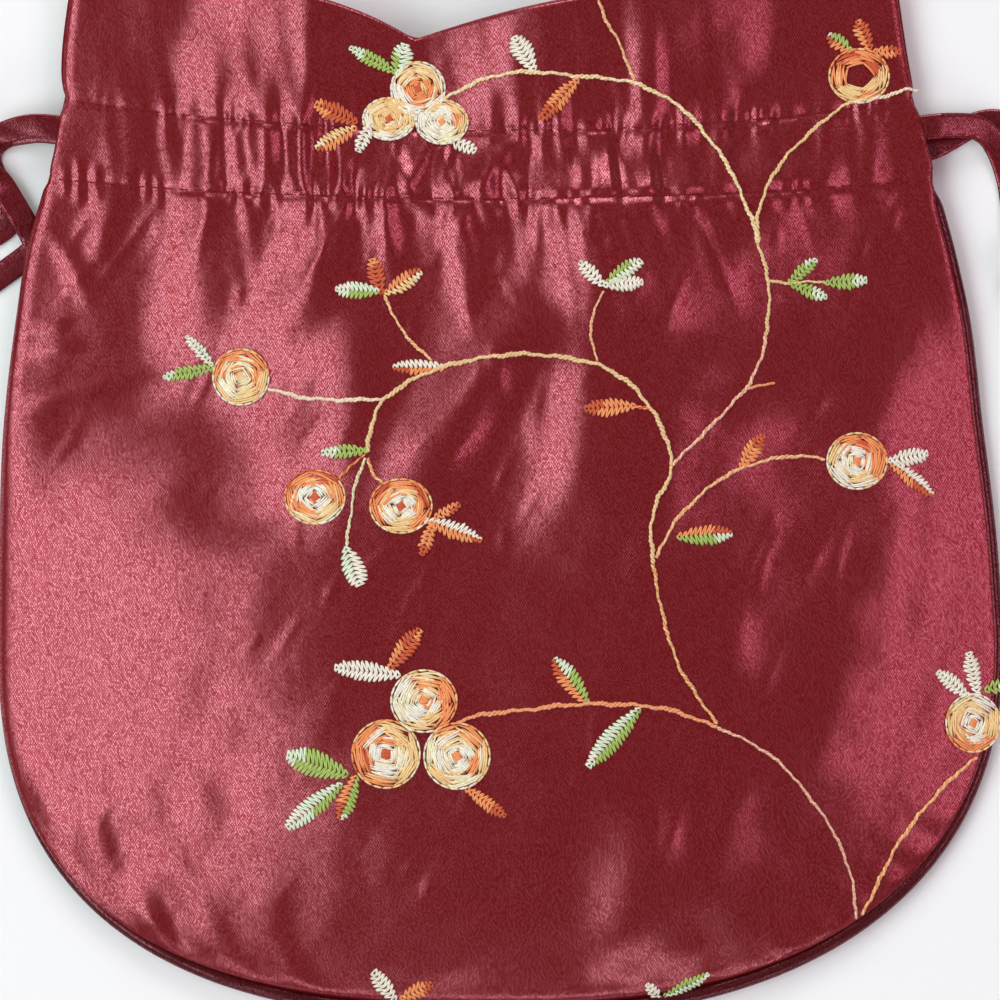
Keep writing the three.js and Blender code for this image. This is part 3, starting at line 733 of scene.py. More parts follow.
def threadMaterial(name, colour, gloss):
    material, nodes, links = startMaterial(name)
    shader = nodes["Principled BSDF"]
    shader.inputs["Roughness"].default_value = threadLook["roughness"]
    shader.inputs["Specular IOR Level"].default_value = gloss
    shader.inputs["Sheen Weight"].default_value = threadLook["sheen"]
    shader.inputs["Sheen Tint"].default_value = linear(*colour)
    turn, stretch = threadLook["fibreTurn"], threadLook["fibreStretch"]
    fibre = placedTexture(nodes, links, "ShaderNodeTexNoise", turn, stretch)
    fibre.inputs["Scale"].default_value = threadLook["fibre"]
    fibre.inputs["Detail"].default_value = 3.0
    shades = [linear(*np.minimum(np.array(colour) * shade, 255)) for shade in threadLook["shade"]]
    ramp = colourRamp(nodes, links, fibre.outputs["Fac"], threadLook["shadeAt"], shades)
    links.new(ramp, shader.inputs["Base Color"])
    addBump(nodes, links, fibre.outputs["Fac"], threadLook)
    return material


panelSatin = satinMaterial("burgundy_satin")
# Painted shade: darker copies of the panel's satin for the piping, and for the straps and knots
shadedTrimSatin = satinMaterial("burgundy_satin_trim_painted_shade", satinLook["trim"])
shadedStrapSatin = satinMaterial("burgundy_satin_strap_painted_shade", satinLook["strap"])
sewingThread = threadMaterial("burgundy_sewing_thread", threadLook["sewing"], threadLook["sewingGloss"])
embroideryThreads = [
    threadMaterial(name + "_thread", colour, threadLook["gloss"]) for name, colour in threadColours.items()
]
print("materials made")


# Cloth: an even grid that fits the panel's outline, with a coarser inner side
panelOutline = {"arcPoints": 90, "corner": 45, "sidePoints": 240}


def panelGrid(panel, columns, rows):
    corner = panelOutline["corner"]
    upY = np.linspace(pouchShape["bellyY"], pouchShape["mouthY"], panelOutline["sidePoints"])
    bottoms, sides = [], []
    for k, side in enumerate(("left", "right")):
        inset = sideInsets(np.array(pouchShape["bellyY"]), panel)[k]
        arc = np.stack(cornerArc(side, inset, pouchShape["show"], panelOutline["arcPoints"]), axis=1)
        up = np.stack([panelEdges(upY, panel)[k], upY], axis=1)
        bottoms.append(arc[corner:])  # from the corner to the tip
        sides.append(np.vstack([arc[corner:0:-1], up]))
    bottom = evenly(np.vstack([bottoms[0], bottoms[1][-2::-1]]), columns)
    left, right = [evenly(side, rows) for side in sides]
    s = np.linspace(0, 1, columns)[None, :, None]
    t = np.linspace(0, 1, rows)[:, None, None]
    top = mix(left[-1], right[-1], s[0])
    ruled = mix(bottom[None], top[None], t) + mix(left[:, None], right[:, None], s)
    corners = mix(mix(bottom[0], bottom[-1], s), mix(top[0], top[-1], s), t)
    return (ruled - corners)[..., 0], (ruled - corners)[..., 1]


def gridFaces(index):
    faces = np.stack([index[:-1, :-1], index[:-1, 1:], index[1:, 1:], index[1:, :-1]], axis=-1)
    return faces.reshape(-1, 4)


def lowest(z, reach):  # the lowest height around each place of a grid
    for axis, size in enumerate(z.shape):
        steps = np.arange(size)
        around = [np.take(z, np.clip(steps + k, 0, size - 1), axis) for k in range(-reach, reach + 1)]
        z = np.min(around, axis=0)
    return z


def shell(outer, inner, every):  # outer side, coarser inner side, and the strip that joins their rims
    rows, columns = outer.shape[:2]
    coarse = inner[::every, ::every]
    over = np.arange(rows * columns).reshape(rows, columns)
    under = rows * columns + np.arange(coarse.shape[0] * coarse.shape[1]).reshape(coarse.shape[:2])
    points = np.vstack([outer.reshape(-1, 3), coarse.reshape(-1, 3)])
    faces = gridFaces(over).tolist() + gridFaces(under)[:, ::-1].tolist()
    rims = [(over[0], under[0]), (over[:, -1], under[:, -1])]
    rims += [(over[-1, ::-1], under[-1, ::-1]), (over[::-1, 0], under[::-1, 0])]
    for fine, rough in rims:
        for k in range(len(rough) - 1):
            stretch = fine[k * every:(k + 1) * every + 1]
            faces.append([rough[k], rough[k + 1], *stretch[::-1]])
    return points, faces


frontPanel = {"columns": 277, "rows": 297, "every": 4, "cloth": 0.5}
backPanel = {"columns": 121, "rows": 133, "every": 4, "cloth": 0.5}
facing = {"from": 56.0, "columns": 121, "rows": 25}


def facingShell(panel, cloth):  # the part of a panel folded in at the mouth and sewn below the channel
    rowsY = np.linspace(facing["from"], pouchShape["mouthY"], facing["rows"])[:, None]
    x = mix(*panelEdges(rowsY, panel), np.linspace(0, 1, facing["columns"])[None, :])
    y = rowsY + 0 * x
    _, inside, drop = frontAt(x, y) if panel == "front" else backAt(x, y)
    side = np.stack([x, y - drop, inside], axis=-1)
    if panel == "front":
        return shell(side + (0, 0, cloth), side, 1)
    return shell(side, side - (0, 0, cloth), 1)


def addPanel(panel, look):
    x, y = panelGrid(panel, look["columns"], look["rows"])
    z, _, drop = frontAt(x, y) if panel == "front" else backAt(x, y)
    outer = np.stack([x, y - drop, z], axis=-1)
    if panel == "front":
        inner = np.stack([x, y - drop, lowest(z, look["every"]) - look["cloth"]], axis=-1)
        points, faces = shell(outer, inner, look["every"])
    else:
        outer = outer[:, ::-1]
        points, faces = shell(outer, outer + (0, 0, look["cloth"]), look["every"])
    folded, foldedFaces = facingShell(panel, look["cloth"])
    faces += [[corner + len(points) for corner in face] for face in foldedFaces]
    piece = addPiece(panel + "_panel_cloth", np.vstack([points, folded]), faces, [panelSatin])
    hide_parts(panel + "_panel")
    return piece


frontCloth = addPanel("front", frontPanel)
backCloth = addPanel("back", backPanel)
print("panels made:", len(frontCloth.data.polygons), "and", len(backCloth.data.polygons), "faces")


# Tubes gathered into one mesh for each piece
def newWork():
    return {"points": [], "faces": [], "slots": [], "count": 0}


def addTube(work, path, section, slot=0, side=None, taper=0.45):
    path = np.asarray(path, float)
    along = unit(np.gradient(path, axis=0))
    if side is None:
        side = unit(np.cross(along, (0.0, 0.0, 1.0)))
    up = np.cross(side, along)
    ends = np.ones(len(path)) * taper
    if np.ndim(taper) == 0:
        ends[1:-1] = 1
    ring = section[None, :, :1] * side[:, None] + section[None, :, 1:] * up[:, None]
    points = path[:, None] + ring * ends[:, None, None]
    count = len(section)
    index = work["count"] + np.arange(len(path) * count).reshape(len(path), count)
    after = np.roll(index, -1, axis=1)
    quads = np.stack([index[:-1], index[1:], after[1:], after[:-1]], axis=-1).reshape(-1, 4)
    faces = quads.tolist() + [index[0].tolist(), index[-1][::-1].tolist()]
    work["points"].append(points.reshape(-1, 3))
    work["faces"] += faces
    work["slots"] += [slot] * len(faces)
    work["count"] += index.size


threadSides = 5


def roundSection(radius, sides=6):
    angles = np.arange(sides) * 2 * np.pi / sides
    return radius * np.stack([np.cos(angles), np.sin(angles)], axis=1)


def finishWork(work, name, materials):
    return addPiece(name, np.vstack(work["points"]), work["faces"], materials, work["slots"])


# Piping round the seam
pipingLook = {
    "top": 58.5,
    "sidePoints": 40,
    "arcPoints": 60,
    "step": 0.8,
    "sides": 14,
    "thinEnd": 0.3,
    "thinRun": 7.0,
    "tuckIn": 0.6,  # share of the thinning by which the ends move in
    "pucker": 0.07,
    "puckerRuns": (2.1, 13.0),
}


def addPiping():
    inset, radius = frontEdge["pipingInset"], frontEdge["pipingRadius"]
    upY = np.linspace(pipingLook["top"], pouchShape["bellyY"], pipingLook["sidePoints"])[:-1]
    lines = []
    for side, sign in (("left", -1), ("right", 1)):
        upX = sign * (sectionAt(upY, side) - inset)
        roundX, roundY = cornerArc(side, inset, inset, pipingLook["arcPoints"])
        lines.append(np.stack([np.append(upX, roundX), np.append(upY, roundY)], axis=1))
    flat = smoothLine(np.vstack([lines[0], lines[1][-2::-1]]), pipingLook["step"])
    path = np.column_stack([flat, sectionAt(flat[:, 1], "seam")])
    along = np.arange(len(path)) * pipingLook["step"]
    quick, slow = pipingLook["puckerRuns"]
    path[:, 2] += pipingLook["pucker"] * np.sin(along / quick + np.sin(along / slow))
    work = newWork()
    fromEnd = np.minimum(along, along[::-1])
    swell = mix(pipingLook["thinEnd"], 1, ease(fromEnd, 0, pipingLook["thinRun"]))
    path[:, 0] -= np.sign(path[:, 0]) * radius * (1 - swell) * pipingLook["tuckIn"]
    addTube(work, path, roundSection(radius, pipingLook["sides"]), taper=swell)
    piece = finishWork(work, "piping_cord", [shadedTrimSatin])
    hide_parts("piping")


addPiping()
print("piping made")

# Straps
strapLook = {
    "width": 4.5,
    "thickness": 0.8,
    "step": 0.6,
    "sides": 20,
    "square": 0.45,  # 1 for an oval section, less for a squarer one
    "runPoints": 121,
    "inChannel": 1.0,  # height over the channel's lower side
    "hidden": 6,  # points at each end of the run that the free ends take over
    "inside": [7, 3],  # points of the run, from its edge, where a free end starts
    "seamAside": 1.65,
    "seamDeep": 0.04,
    "seamStitch": 1.7,
    "seamGap": 0.7,
    "seamEnds": (1.0, 3.0),
    "seamThread": 0.16,
}
# x, y, z and roll in degrees, from the channel outwards
freeEnds = {
    "strap_front_left": [
        (-82.1, 66.9, 4.9, 10), (-86.2, 66.7, 4.7, 20), (-90.2, 65.4, 4.1, 30), (-92.7, 64, 3.8, 65),
        (-93.8, 62.4, 3.7, 90), (-92.7, 60.4, 3.6, 75), (-90.2, 57.2, 3, 30), (-87.6, 52.6, 2.3, 5),
        (-86.2, 50.2, 1.75, 0), (-84.9, 47.8, 0.75, 0), (-84, 45.6, 0.55, 0), (-85.5, 43.9, 0.5, 0),
        (-88, 42, 0.5, 0), (-92, 39.1, 0.5, 0), (-96, 36.1, 0.5, 0), (-99.4, 33.6, 0.9, 0),
    ],
    "strap_front_right": [
        (77.4, 66.9, 4.9, 0), (81.7, 67.2, 3.9, 0), (85.5, 66.9, 2.8, 0), (88.4, 65, 1.9, 0),
        (90.4, 61.6, 1.1, 0), (91.8, 57.3, 0.6, 0), (92.5, 52.5, 0.5, 0), (92.9, 46.9, 0.9, 0),
    ],
    "strap_back_left": [
        (-82.6, 66.4, 1.6, 0), (-86.2, 66.2, 0.9, 0), (-89.4, 65.5, 0.55, 0), (-91.9, 63.6, 0.5, 0),
        (-92.5, 61, 0.5, 0), (-91.4, 58.1, 0.5, 0), (-89.6, 55, 0.5, 0), (-88.6, 52.2, 0.5, 0),
        (-89.2, 49.6, 0.5, 0), (-91.2, 47.9, 0.5, 0), (-95, 45.8, 0.5, 0), (-99.2, 41.9, 0.5, 0),
        (-102.7, 36.8, 0.9, 0),
    ],
    "strap_back_right": [
        (77.8, 63.4, 1.6, 0), (80.9, 65, 0.9, 0), (84.4, 67, 0.5, 0), (88.2, 68.1, 0.5, 0),
        (92.2, 67.4, 0.5, 0), (95.8, 64.4, 0.5, 0), (97.8, 60, 0.5, 0), (98.4, 54.6, 0.5, 0),
        (98.1, 47, 0.9, 0),
    ],
}
channelRows = {"front": (66.6, 66.6), "back": (66.2, 62.6)}  # y at the left and the right


def channelRun(panel):
    across = np.linspace(0, 1, strapLook["runPoints"])
    y = mix(*channelRows[panel], across)
    x = mix(*panelEdges(y, panel), across)
    if panel == "front":
        _, under, drop = frontAt(x, y)
    else:
        under, _, drop = backAt(x, y)
    return np.stack([x, y - drop, under + strapLook["inChannel"]], axis=1)


def strapSection():
    half, deep = strapLook["width"] / 2, strapLook["thickness"] / 2
    angles = np.arange(strapLook["sides"]) * 2 * np.pi / strapLook["sides"]
    wide = np.sign(np.cos(angles)) * np.abs(np.cos(angles)) ** strapLook["square"]
    return np.stack([half * wide, deep * np.sin(angles)], axis=1)


def strapMesh(name, path, roll):
    along = unit(np.gradient(path, axis=0))
    side = unit(np.cross(along, (0.0, 0.0, 1.0)))
    up = np.cross(side, along)
    turn = np.radians(roll)[:, None]
    side = side * np.cos(turn) + up * np.sin(turn)
    work = newWork()
    addTube(work, path, strapSection(), side=side, taper=0.9)
    up = np.cross(side, along)
    seam = path + side * strapLook["seamAside"] + up * (strapLook["thickness"] / 2 - strapLook["seamDeep"])
    first, last = strapLook["seamEnds"]
    thread = roundSection(strapLook["seamThread"], threadSides)
    for start in np.arange(first, runOf(seam)[-1] - last, strapLook["seamStitch"] + strapLook["seamGap"]):
        stations = np.linspace(start, start + strapLook["seamStitch"], 5)
        addTube(work, alongPath(seam, stations), thread, 1)
    piece = finishWork(work, name, [shadedStrapSatin, sewingThread])
    return piece


for panel in ("front", "back"):
    run, hidden = channelRun(panel), strapLook["hidden"]
    piece = strapMesh("strap_" + panel + "_run", run[hidden:-hidden], np.zeros(len(run) - 2 * hidden))
    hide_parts("strap_" + panel)
    for side, fromEdge in (("left", run), ("right", run[::-1])):
        name = "strap_" + panel + "_" + side
        route = np.array(freeEnds[name])
        inside = np.column_stack([fromEdge[strapLook["inside"]], [0, 0]])
        full = smoothLine(np.vstack([inside, route]), strapLook["step"])
        piece = strapMesh(name, full[:, :3], full[:, 3])
        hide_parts("strap_" + panel)

# Overhand knots where each pair of straps is tied
knotLook = {
    "radius": 3.2,
    "lobe": 0.5,
    "tube": 1.2,
    "sides": 12,
    "steps": 180,
    "left": (-103.4, 31.2),
    "right": (95.6, 41.5),
}


def addKnot(side):
    t = np.linspace(0, 2 * np.pi, knotLook["steps"], endpoint=False)
    swell = knotLook["radius"] * (2 + np.cos(3 * t)) * knotLook["lobe"]
    lift = knotLook["radius"] * np.sin(3 * t) * knotLook["lobe"]
    path = np.stack([swell * np.cos(2 * t), swell * np.sin(2 * t), lift], axis=1)
    path[:, :2] += knotLook[side]
    path[:, 2] += knotLook["tube"] - path[:, 2].min()
    path = np.vstack([path, path[:2]])
    work = newWork()
    addTube(work, path, roundSection(knotLook["tube"], knotLook["sides"]), taper=1.0)
    piece = finishWork(work, "knot_" + side + "_tied", [shadedStrapSatin])
    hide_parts("knot_" + side)
    return piece


knots = {side: addKnot(side) for side in ("left", "right")}
print("straps and knots made")


# Sewing along the two edges of the channel
def addChannelStitches(panel):
    work = newWork()
    for row in (pouchShape["lowerStitch"], pouchShape["upperStitch"]):
        left, right = panelEdges(np.array(row), panel)
        for start in np.arange(left + sewing["ends"][0], right - sewing["ends"][1], sewing["pitch"]):
            x = np.linspace(start, start + sewing["stitch"], sewing["points"])
            if panel == "front":
                z, _, drop = frontAt(x, row + 0 * x)
                z = z + sewing["lift"]
                z[[0, -1]] -= sewing["dip"]
            else:
                z, _, drop = backAt(x, row + 0 * x)
                z[[0, -1]] += sewing["dip"]
            addTube(work, np.stack([x, row - drop, z], axis=1), roundSection(sewing["radius"]))
    piece = finishWork(work, panel + "_channel_stitches", [sewingThread])
    return piece


frontSewing = addChannelStitches("front")
backSewing = addChannelStitches("back")
print("channel stitches made")


# Embroidery: places are pixels of the picture, put on the cloth under them
clothAim = {"height": 12.0, "rounds": 3}  # first guess, and how often it is corrected


def onCloth(pixels, lift):
    pixels = np.asarray(pixels, float)
    z = clothAim["height"] + 0 * pixels[..., 0]
    for _ in range(clothAim["rounds"]):
        x, y = underPixels(pixels, z)
        z = onFront(x, y)
    return np.stack([x, y, z + lift], axis=-1)


stitchRise = np.array((-0.06, 0.2, 0.26, 0.2, -0.06))  # a stitch dips into the cloth at both ends


def addStitch(work, start, end, radius, colour, lift=0.0):
    share = np.linspace(0, 1, len(stitchRise))[:, None]
    path = onCloth(mix(np.asarray(start, float), np.asarray(end, float), share), stitchRise + lift)
    addTube(work, path, roundSection(radius, threadSides), threadSlots[colour], taper=0.6)


# Stems: two colours of a twisted pair of threads, their weight, and the line of pixels they follow
stems = [
    ("peach", "cream", 1.0, [
        (442, 100), (482, 80), (524, 72), (577, 76), (630, 82), (666, 98), (689, 115), (723, 158), (738, 187),
        (754, 226), (758, 243)]),
    ("salmon", "peach", 0.8, [(598, 0), (606, 20), (620, 45), (634, 81)]),
    ("peach", "olive", 0.9, [
        (758, 243), (758, 215), (768, 185), (785, 158), (811, 132), (836, 111), (853, 101)]),
    ("cream", "pink", 0.9, [(853, 101), (879, 98), (904, 90), (918, 91)]),
    ("olive", "tan", 0.9, [(758, 243), (767, 275), (769, 298), (767, 332)]),
    ("salmon", "pink", 0.9, [
        (767, 332), (760, 361), (747, 387), (740, 395), (715, 422), (689, 448), (672, 465)]),
    ("salmon", "orange", 0.8, [(747, 388), (760, 386), (775, 383)]),
    ("olive", "tan", 1.1, [
        (367, 452), (370, 435), (375, 414), (387, 397), (414, 379), (443, 367), (482, 358), (524, 354),
        (567, 358), (601, 366), (630, 384), (651, 409), (666, 438), (672, 465)]),
    ("olive", "tan", 1.0, [(672, 465), (666, 485), (656, 503), (651, 530), (653, 564)]),
    ("olive", "orange", 0.9, [(653, 564), (657, 588), (666, 628), (679, 666), (696, 694), (717, 724)]),
    ("cream", "pink", 1.0, [(268, 388), (300, 397), (340, 400), (384, 399)]),
    ("salmon", "peach", 0.9, [
        (656, 558), (666, 538), (674, 523), (694, 501), (719, 480), (745, 467), (772, 459), (798, 456),
        (825, 459)]),
    ("orange", "salmon", 1.1, [
        (456, 722), (486, 714), (525, 710), (567, 705), (610, 704), (666, 709), (717, 727)]),
    ("pink", "salmon", 0.75, [
        (717, 727), (751, 743), (781, 764), (807, 794), (830, 826), (843, 853), (853, 885), (856, 919)]),
    ("tan", "orange", 0.95, [(862, 915), (879, 881), (896, 847), (922, 811), (953, 777), (977, 757)]),
    ("peach", "salmon", 0.8, [(384, 295), (395, 318), (404, 333), (418, 348), (432, 361)]),
    ("tan", "salmon", 0.7, [(604, 291), (593, 314), (591, 333), (594, 350), (597, 362)]),
    ("tan", "olive", 0.7, [(768, 281), (789, 283), (804, 282), (825, 282)]),
    ("mint", "tan", 0.8, [(366, 458), (356, 482), (350, 520), (346, 548)]),
    ("orange", "peach", 0.8, [(368, 458), (374, 475), (383, 484)]),
    ("orange", "rust", 0.8, [(365, 454), (346, 471), (338, 478)]),
    ("orange", "rust", 0.8, [(651, 409), (642, 408), (634, 406)]),
]
stemLook = {
    "radius": 0.22,
    "step": 1.1,
    "lift": 0.24,
    "rise": 0.14,
    "twist": 1.7,
    "twistSwing": (1.1, 2.3),  # size and run of the unevenness, here and below
    "spread": 0.16,
    "spreadSwing": (0.5, 1.7),
    "wobble": ((0.11, 1.1), (0.08, 0.43)),
}


def addStems():
    work = newWork()
    draw = np.random.default_rng(21)
    for first, second, weight, line in stems:
        flat = smoothLine(line, stemLook["step"])
        path = onCloth(flat, stemLook["lift"])
        along = unit(np.gradient(path, axis=0))
        side = unit(np.cross(along, (0.0, 0.0, 1.0)))
        run = runOf(path)
        swing, length = stemLook["twistSwing"]
        turn = 2 * np.pi * run / stemLook["twist"] + swing * np.sin(run / length + draw.uniform(0, 6))
        (swing, length), (quick, short) = stemLook["wobble"]
        wobble = swing * np.sin(run / length + draw.uniform(0, 6)) + quick * np.sin(run / short)
        swing, length = stemLook["spreadSwing"]
        spread = stemLook["spread"] * (1 + swing * np.sin(run / length + draw.uniform(0, 6)))
        for colour, phase in ((first, 0), (second, np.pi)):
            across = weight * (spread * np.cos(turn + phase) + wobble)[:, None] * side
            rise = stemLook["rise"] * weight * np.sin(turn + phase)[:, None] * np.array((0, 0, 1.0))
            thread = roundSection(stemLook["radius"] * weight)
            addTube(work, path + across + rise, thread, threadSlots[colour])
    piece = finishWork(work, "embroidered_stems", embroideryThreads)
    return piece


# Leaves: pixels of base and tip, width, colour of the left and the right half looking to the tip
leaves = [
    (395, 72, 347, 46, 14, "green", "green"), (397, 74, 406, 43, 22, "green", "mint"),
    (356, 122, 313, 103, 20, "rust", "rust"), (355, 128, 314, 150, 18, "orange", "peach"),
    (371, 123, 357, 153, 14, "white", "white"), (450, 139, 477, 152, 14, "white", "white"),
    (534, 70, 513, 35, 22, "white", "white"), (577, 80, 538, 122, 18, "orange", "orange"),
    (851, 51, 827, 35, 16, "orange", "green"), (870, 49, 857, 19, 18, "orange", "rust"),
    (874, 51, 902, 52, 14, "orange", "orange"), (378, 291, 333, 289, 18, "green", "mint"),
    (381, 293, 372, 257, 18, "rust", "rust"), (386, 293, 423, 270, 18, "orange", "peach"),
    (603, 285, 578, 261, 16, "white", "white"), (607, 282, 643, 259, 16, "green", "mint"),
    (605, 285, 645, 282, 16, "white", "white"), (789, 283, 818, 258, 14, "green", "green"),
    (792, 285, 829, 298, 14, "green", "green"), (826, 283, 869, 280, 16, "green", "green"),
    (212, 365, 185, 334, 12, "white", "mint"), (212, 368, 160, 378, 14, "green", "green"),
    (443, 367, 390, 367, 16, "orange", "white"), (634, 406, 582, 409, 18, "orange", "orange"),
    (367, 450, 319, 453, 14, "green", "green"), (435, 518, 461, 503, 12, "orange", "orange"),
    (426, 520, 485, 541, 18, "white", "orange"), (433, 522, 421, 557, 14, "orange", "orange"),
    (346, 548, 361, 587, 24, "white", "mint"), (741, 467, 764, 433, 18, "orange", "orange"),
    (889, 461, 930, 453, 18, "white", "white"), (892, 463, 935, 497, 16, "white", "orange"),
    (679, 537, 735, 533, 20, "orange", "green"), (398, 675, 331, 667, 21, "white", "white"),
    (390, 668, 422, 627, 20, "orange", "rust"), (346, 774, 284, 754, 28, "green", "green"),
    (340, 785, 284, 830, 22, "green", "mint"), (356, 777, 339, 821, 20, "green", "orange"),
    (467, 789, 508, 818, 14, "orange", "orange"), (587, 703, 552, 656, 22, "orange", "green"),
    (638, 710, 585, 770, 22, "green", "mint"), (968, 696, 936, 670, 16, "white", "white"),
    (978, 695, 968, 650, 16, "white", "white"), (985, 690, 1005, 684, 14, "green", "green"),
    (395, 1000, 372, 970, 18, "white", "white"), (401, 998, 434, 983, 16, "orange", "orange"),
    (660, 1000, 646, 983, 12, "white", "white"), (665, 996, 712, 973, 12, "green", "mint"),
]
nextColour = {
    "green": "mint",
    "mint": "white",
    "white": "white",
    "orange": "rust",
    "rust": "orange",
    "peach": "cream",
}
leafLook = {
    "pitch": 4.7,
    "leastTurns": 4,
    "radius": 0.2,
    "start": 0.02,
    "swell": (0.04, 0.91, 0.8),  # start, run and power
    "uneven": 0.5,
    "slant": 0.5,
    "overlap": 0.07,
    "tuck": 0.06,  # share of the length that lies behind the base
    "step": 1.8,
    "lift": (0.03, 0.24),  # at the corners of the zigzag and between them
    "rightLift": 0.1,
    "shift": (0.5, 0.95),  # where the thread shifts its colour on the way to the tip
}


def addLeaves():
    work = newWork()
    draw = np.random.default_rng(4)
    for baseX, baseY, tipX, tipY, width, leftColour, rightColour in leaves:
        base, tip = np.array((baseX, baseY), float), np.array((tipX, tipY), float)
        length = np.linalg.norm(tip - base)
        axis = (tip - base) / length
        across = np.array((axis[1], -axis[0]))  # to the left, in a picture whose y runs down
        turns = max(leafLook["leastTurns"], int(round(length / leafLook["pitch"])))
        swellFrom, swellRun, power = leafLook["swell"]
        for sign, colour, lift in ((1, leftColour, 0.0), (-1, rightColour, leafLook["rightLift"])):
            share = np.linspace(leafLook["start"], 1, 2 * turns + 1)
            swell = np.sin(np.pi * (swellFrom + swellRun * share)) ** power
            outside = np.arange(2 * turns + 1) % 2 == 1
            reach = np.where(outside, 0.5 * swell, -leafLook["overlap"] * swell) * width
            reach += draw.normal(0, leafLook["uneven"], len(reach))
            lean = leafLook["slant"] * np.maximum(reach, 0)
            forward = share * length + lean - leafLook["tuck"] * length
            spots = base + axis * forward[:, None] + sign * across * reach[:, None]
            zigzag = np.zeros((2 * len(spots) - 1, 3))  # corners and the middles between them
            zigzag[::2, :2] = spots
            zigzag[1::2, :2] = (spots[1:] + spots[:-1]) / 2
            zigzag[::2, 2], zigzag[1::2, 2] = leafLook["lift"]
            line = smoothLine(zigzag, leafLook["step"])
            path = onCloth(line[:, :2], line[:, 2] + lift)
            turn = int(len(path) * draw.uniform(*leafLook["shift"]))
            thread = roundSection(leafLook["radius"], threadSides)
            addTube(work, path[:turn + 1], thread, threadSlots[colour], taper=0.8)
            addTube(work, path[turn:], thread, threadSlots[nextColour[colour]], taper=0.8)
    piece = finishWork(work, "embroidered_leaves", embroideryThreads)
    return piece


# Roses: centre, radii, colour of the inner rounds and the eye, direction of the warm side in degrees, warmth,
# and the share of the rounds after which the inner colour begins
roses = [
    (418, 89, 27, 27, "orange", "rust", 60, -1.1, 0.55),
    (389, 119, 26, 21, "peach", "rust", 80, -0.7, 0.6),
    (442, 122, 26, 22, "white", "orange", 40, -0.6, 0.6),
    (859, 76, 30, 27, "orange", None, 100, 0.8, 0.8),
    (241, 377, 28, 28, "cream", "tan", 100, 0.4, 0.42),
    (315, 497, 30, 27, "white", "rust", 120, 0.8, 0.6),
    (401, 506, 31, 27, "white", "rust", 60, 0.7, 0.55),
    (857, 461, 30, 28, "white", "orange", 50, 0.2, 0.6),
    (424, 701, 33, 31, "white", "orange", 0, 0.1, 0.55),
    (386, 754, 34, 34, "white", "rust", 150, 0.4, 0.6),
    (457, 756, 33, 33, "white", "orange", 70, -0.35, 0.6),
    (973, 723, 27, 29, "white", "orange", 230, 0.0, 0.6),
]
roseLook = {
    # outer and inner reach, and sides of each ring of bands
    "rings": ((0.9, 0.66, 6), (0.7, 0.44, 5), (0.48, 0.17, 4)),
    "bow": 0.35,  # 0 for straight stitches, 1 for stitches that follow the round
    "pitch": 0.29,  # mm between the stitches of a band
    "radius": 0.21,
    "dome": 0.35,
    "domeShare": 0.6,
    "stagger": 0.05,  # every second stitch of a band lies higher
    "spread": (1.1, 0.16),  # of a stitch over its side of the ring: mean and spread
    "skew": 0.07,
    "edge": 0.96,
    "mainShare": 0.78,  # of a band's first colour
    "toneSpread": 0.45,
    "toneStep": 0.7,  # from a band's first colour to its second
    "sideTurn": 0.05,
    "ringTurn": 0.6,
    "rim": 21,  # short stitches round the outside
    "rimEnds": (-0.15, 0.13),
    "rimLift": 0.14,
    "rimSpread": 0.6,
    "rimStep": 0.6,
    "eye": 0.19,
    "eyeStitches": 8,
    "eyeReach": 0.85,
    "eyeUneven": 0.02,
    # least warmth of each colour
    "colours": (("rust", 1.6), ("orange", 0.4), ("peach", -0.75), ("cream", -1.3), ("white", -9.0)),
}


def warmColour(tone):
    return next(colour for colour, least in roseLook["colours"] if tone > least)


def addBand(work, draw, centre, radii, turn, ring, colours):  # side by side stitches along one side of a ring
    outer, inner, sides = ring
    count = int(round((outer - inner) * np.abs(radii).mean() * photoView["pixel"] / roseLook["pitch"]))
    for k, reach in enumerate(np.linspace(outer, inner, count)):
        spread = np.pi / sides * draw.normal(*roseLook["spread"], 2)
        angles = np.linspace(-spread[0], spread[1], len(stitchRise))
        skew = 1 + draw.normal(0, roseLook["skew"]) * angles
        reaches = np.minimum(reach / np.cos(angles) ** (1 - roseLook["bow"]) * skew, roseLook["edge"])
        around = np.stack([np.cos(turn + angles), np.sin(turn + angles)], axis=1)
        colour = colours[0] if draw.uniform() < roseLook["mainShare"] else colours[1]
        rise = roseLook["dome"] * (1 - reach**2) * roseLook["domeShare"] + roseLook["stagger"] * (k % 2)
        path = onCloth(centre + radii * reaches[:, None] * around, stitchRise + rise)
        addTube(work, path, roundSection(roseLook["radius"], threadSides), threadSlots[colour], taper=0.6)


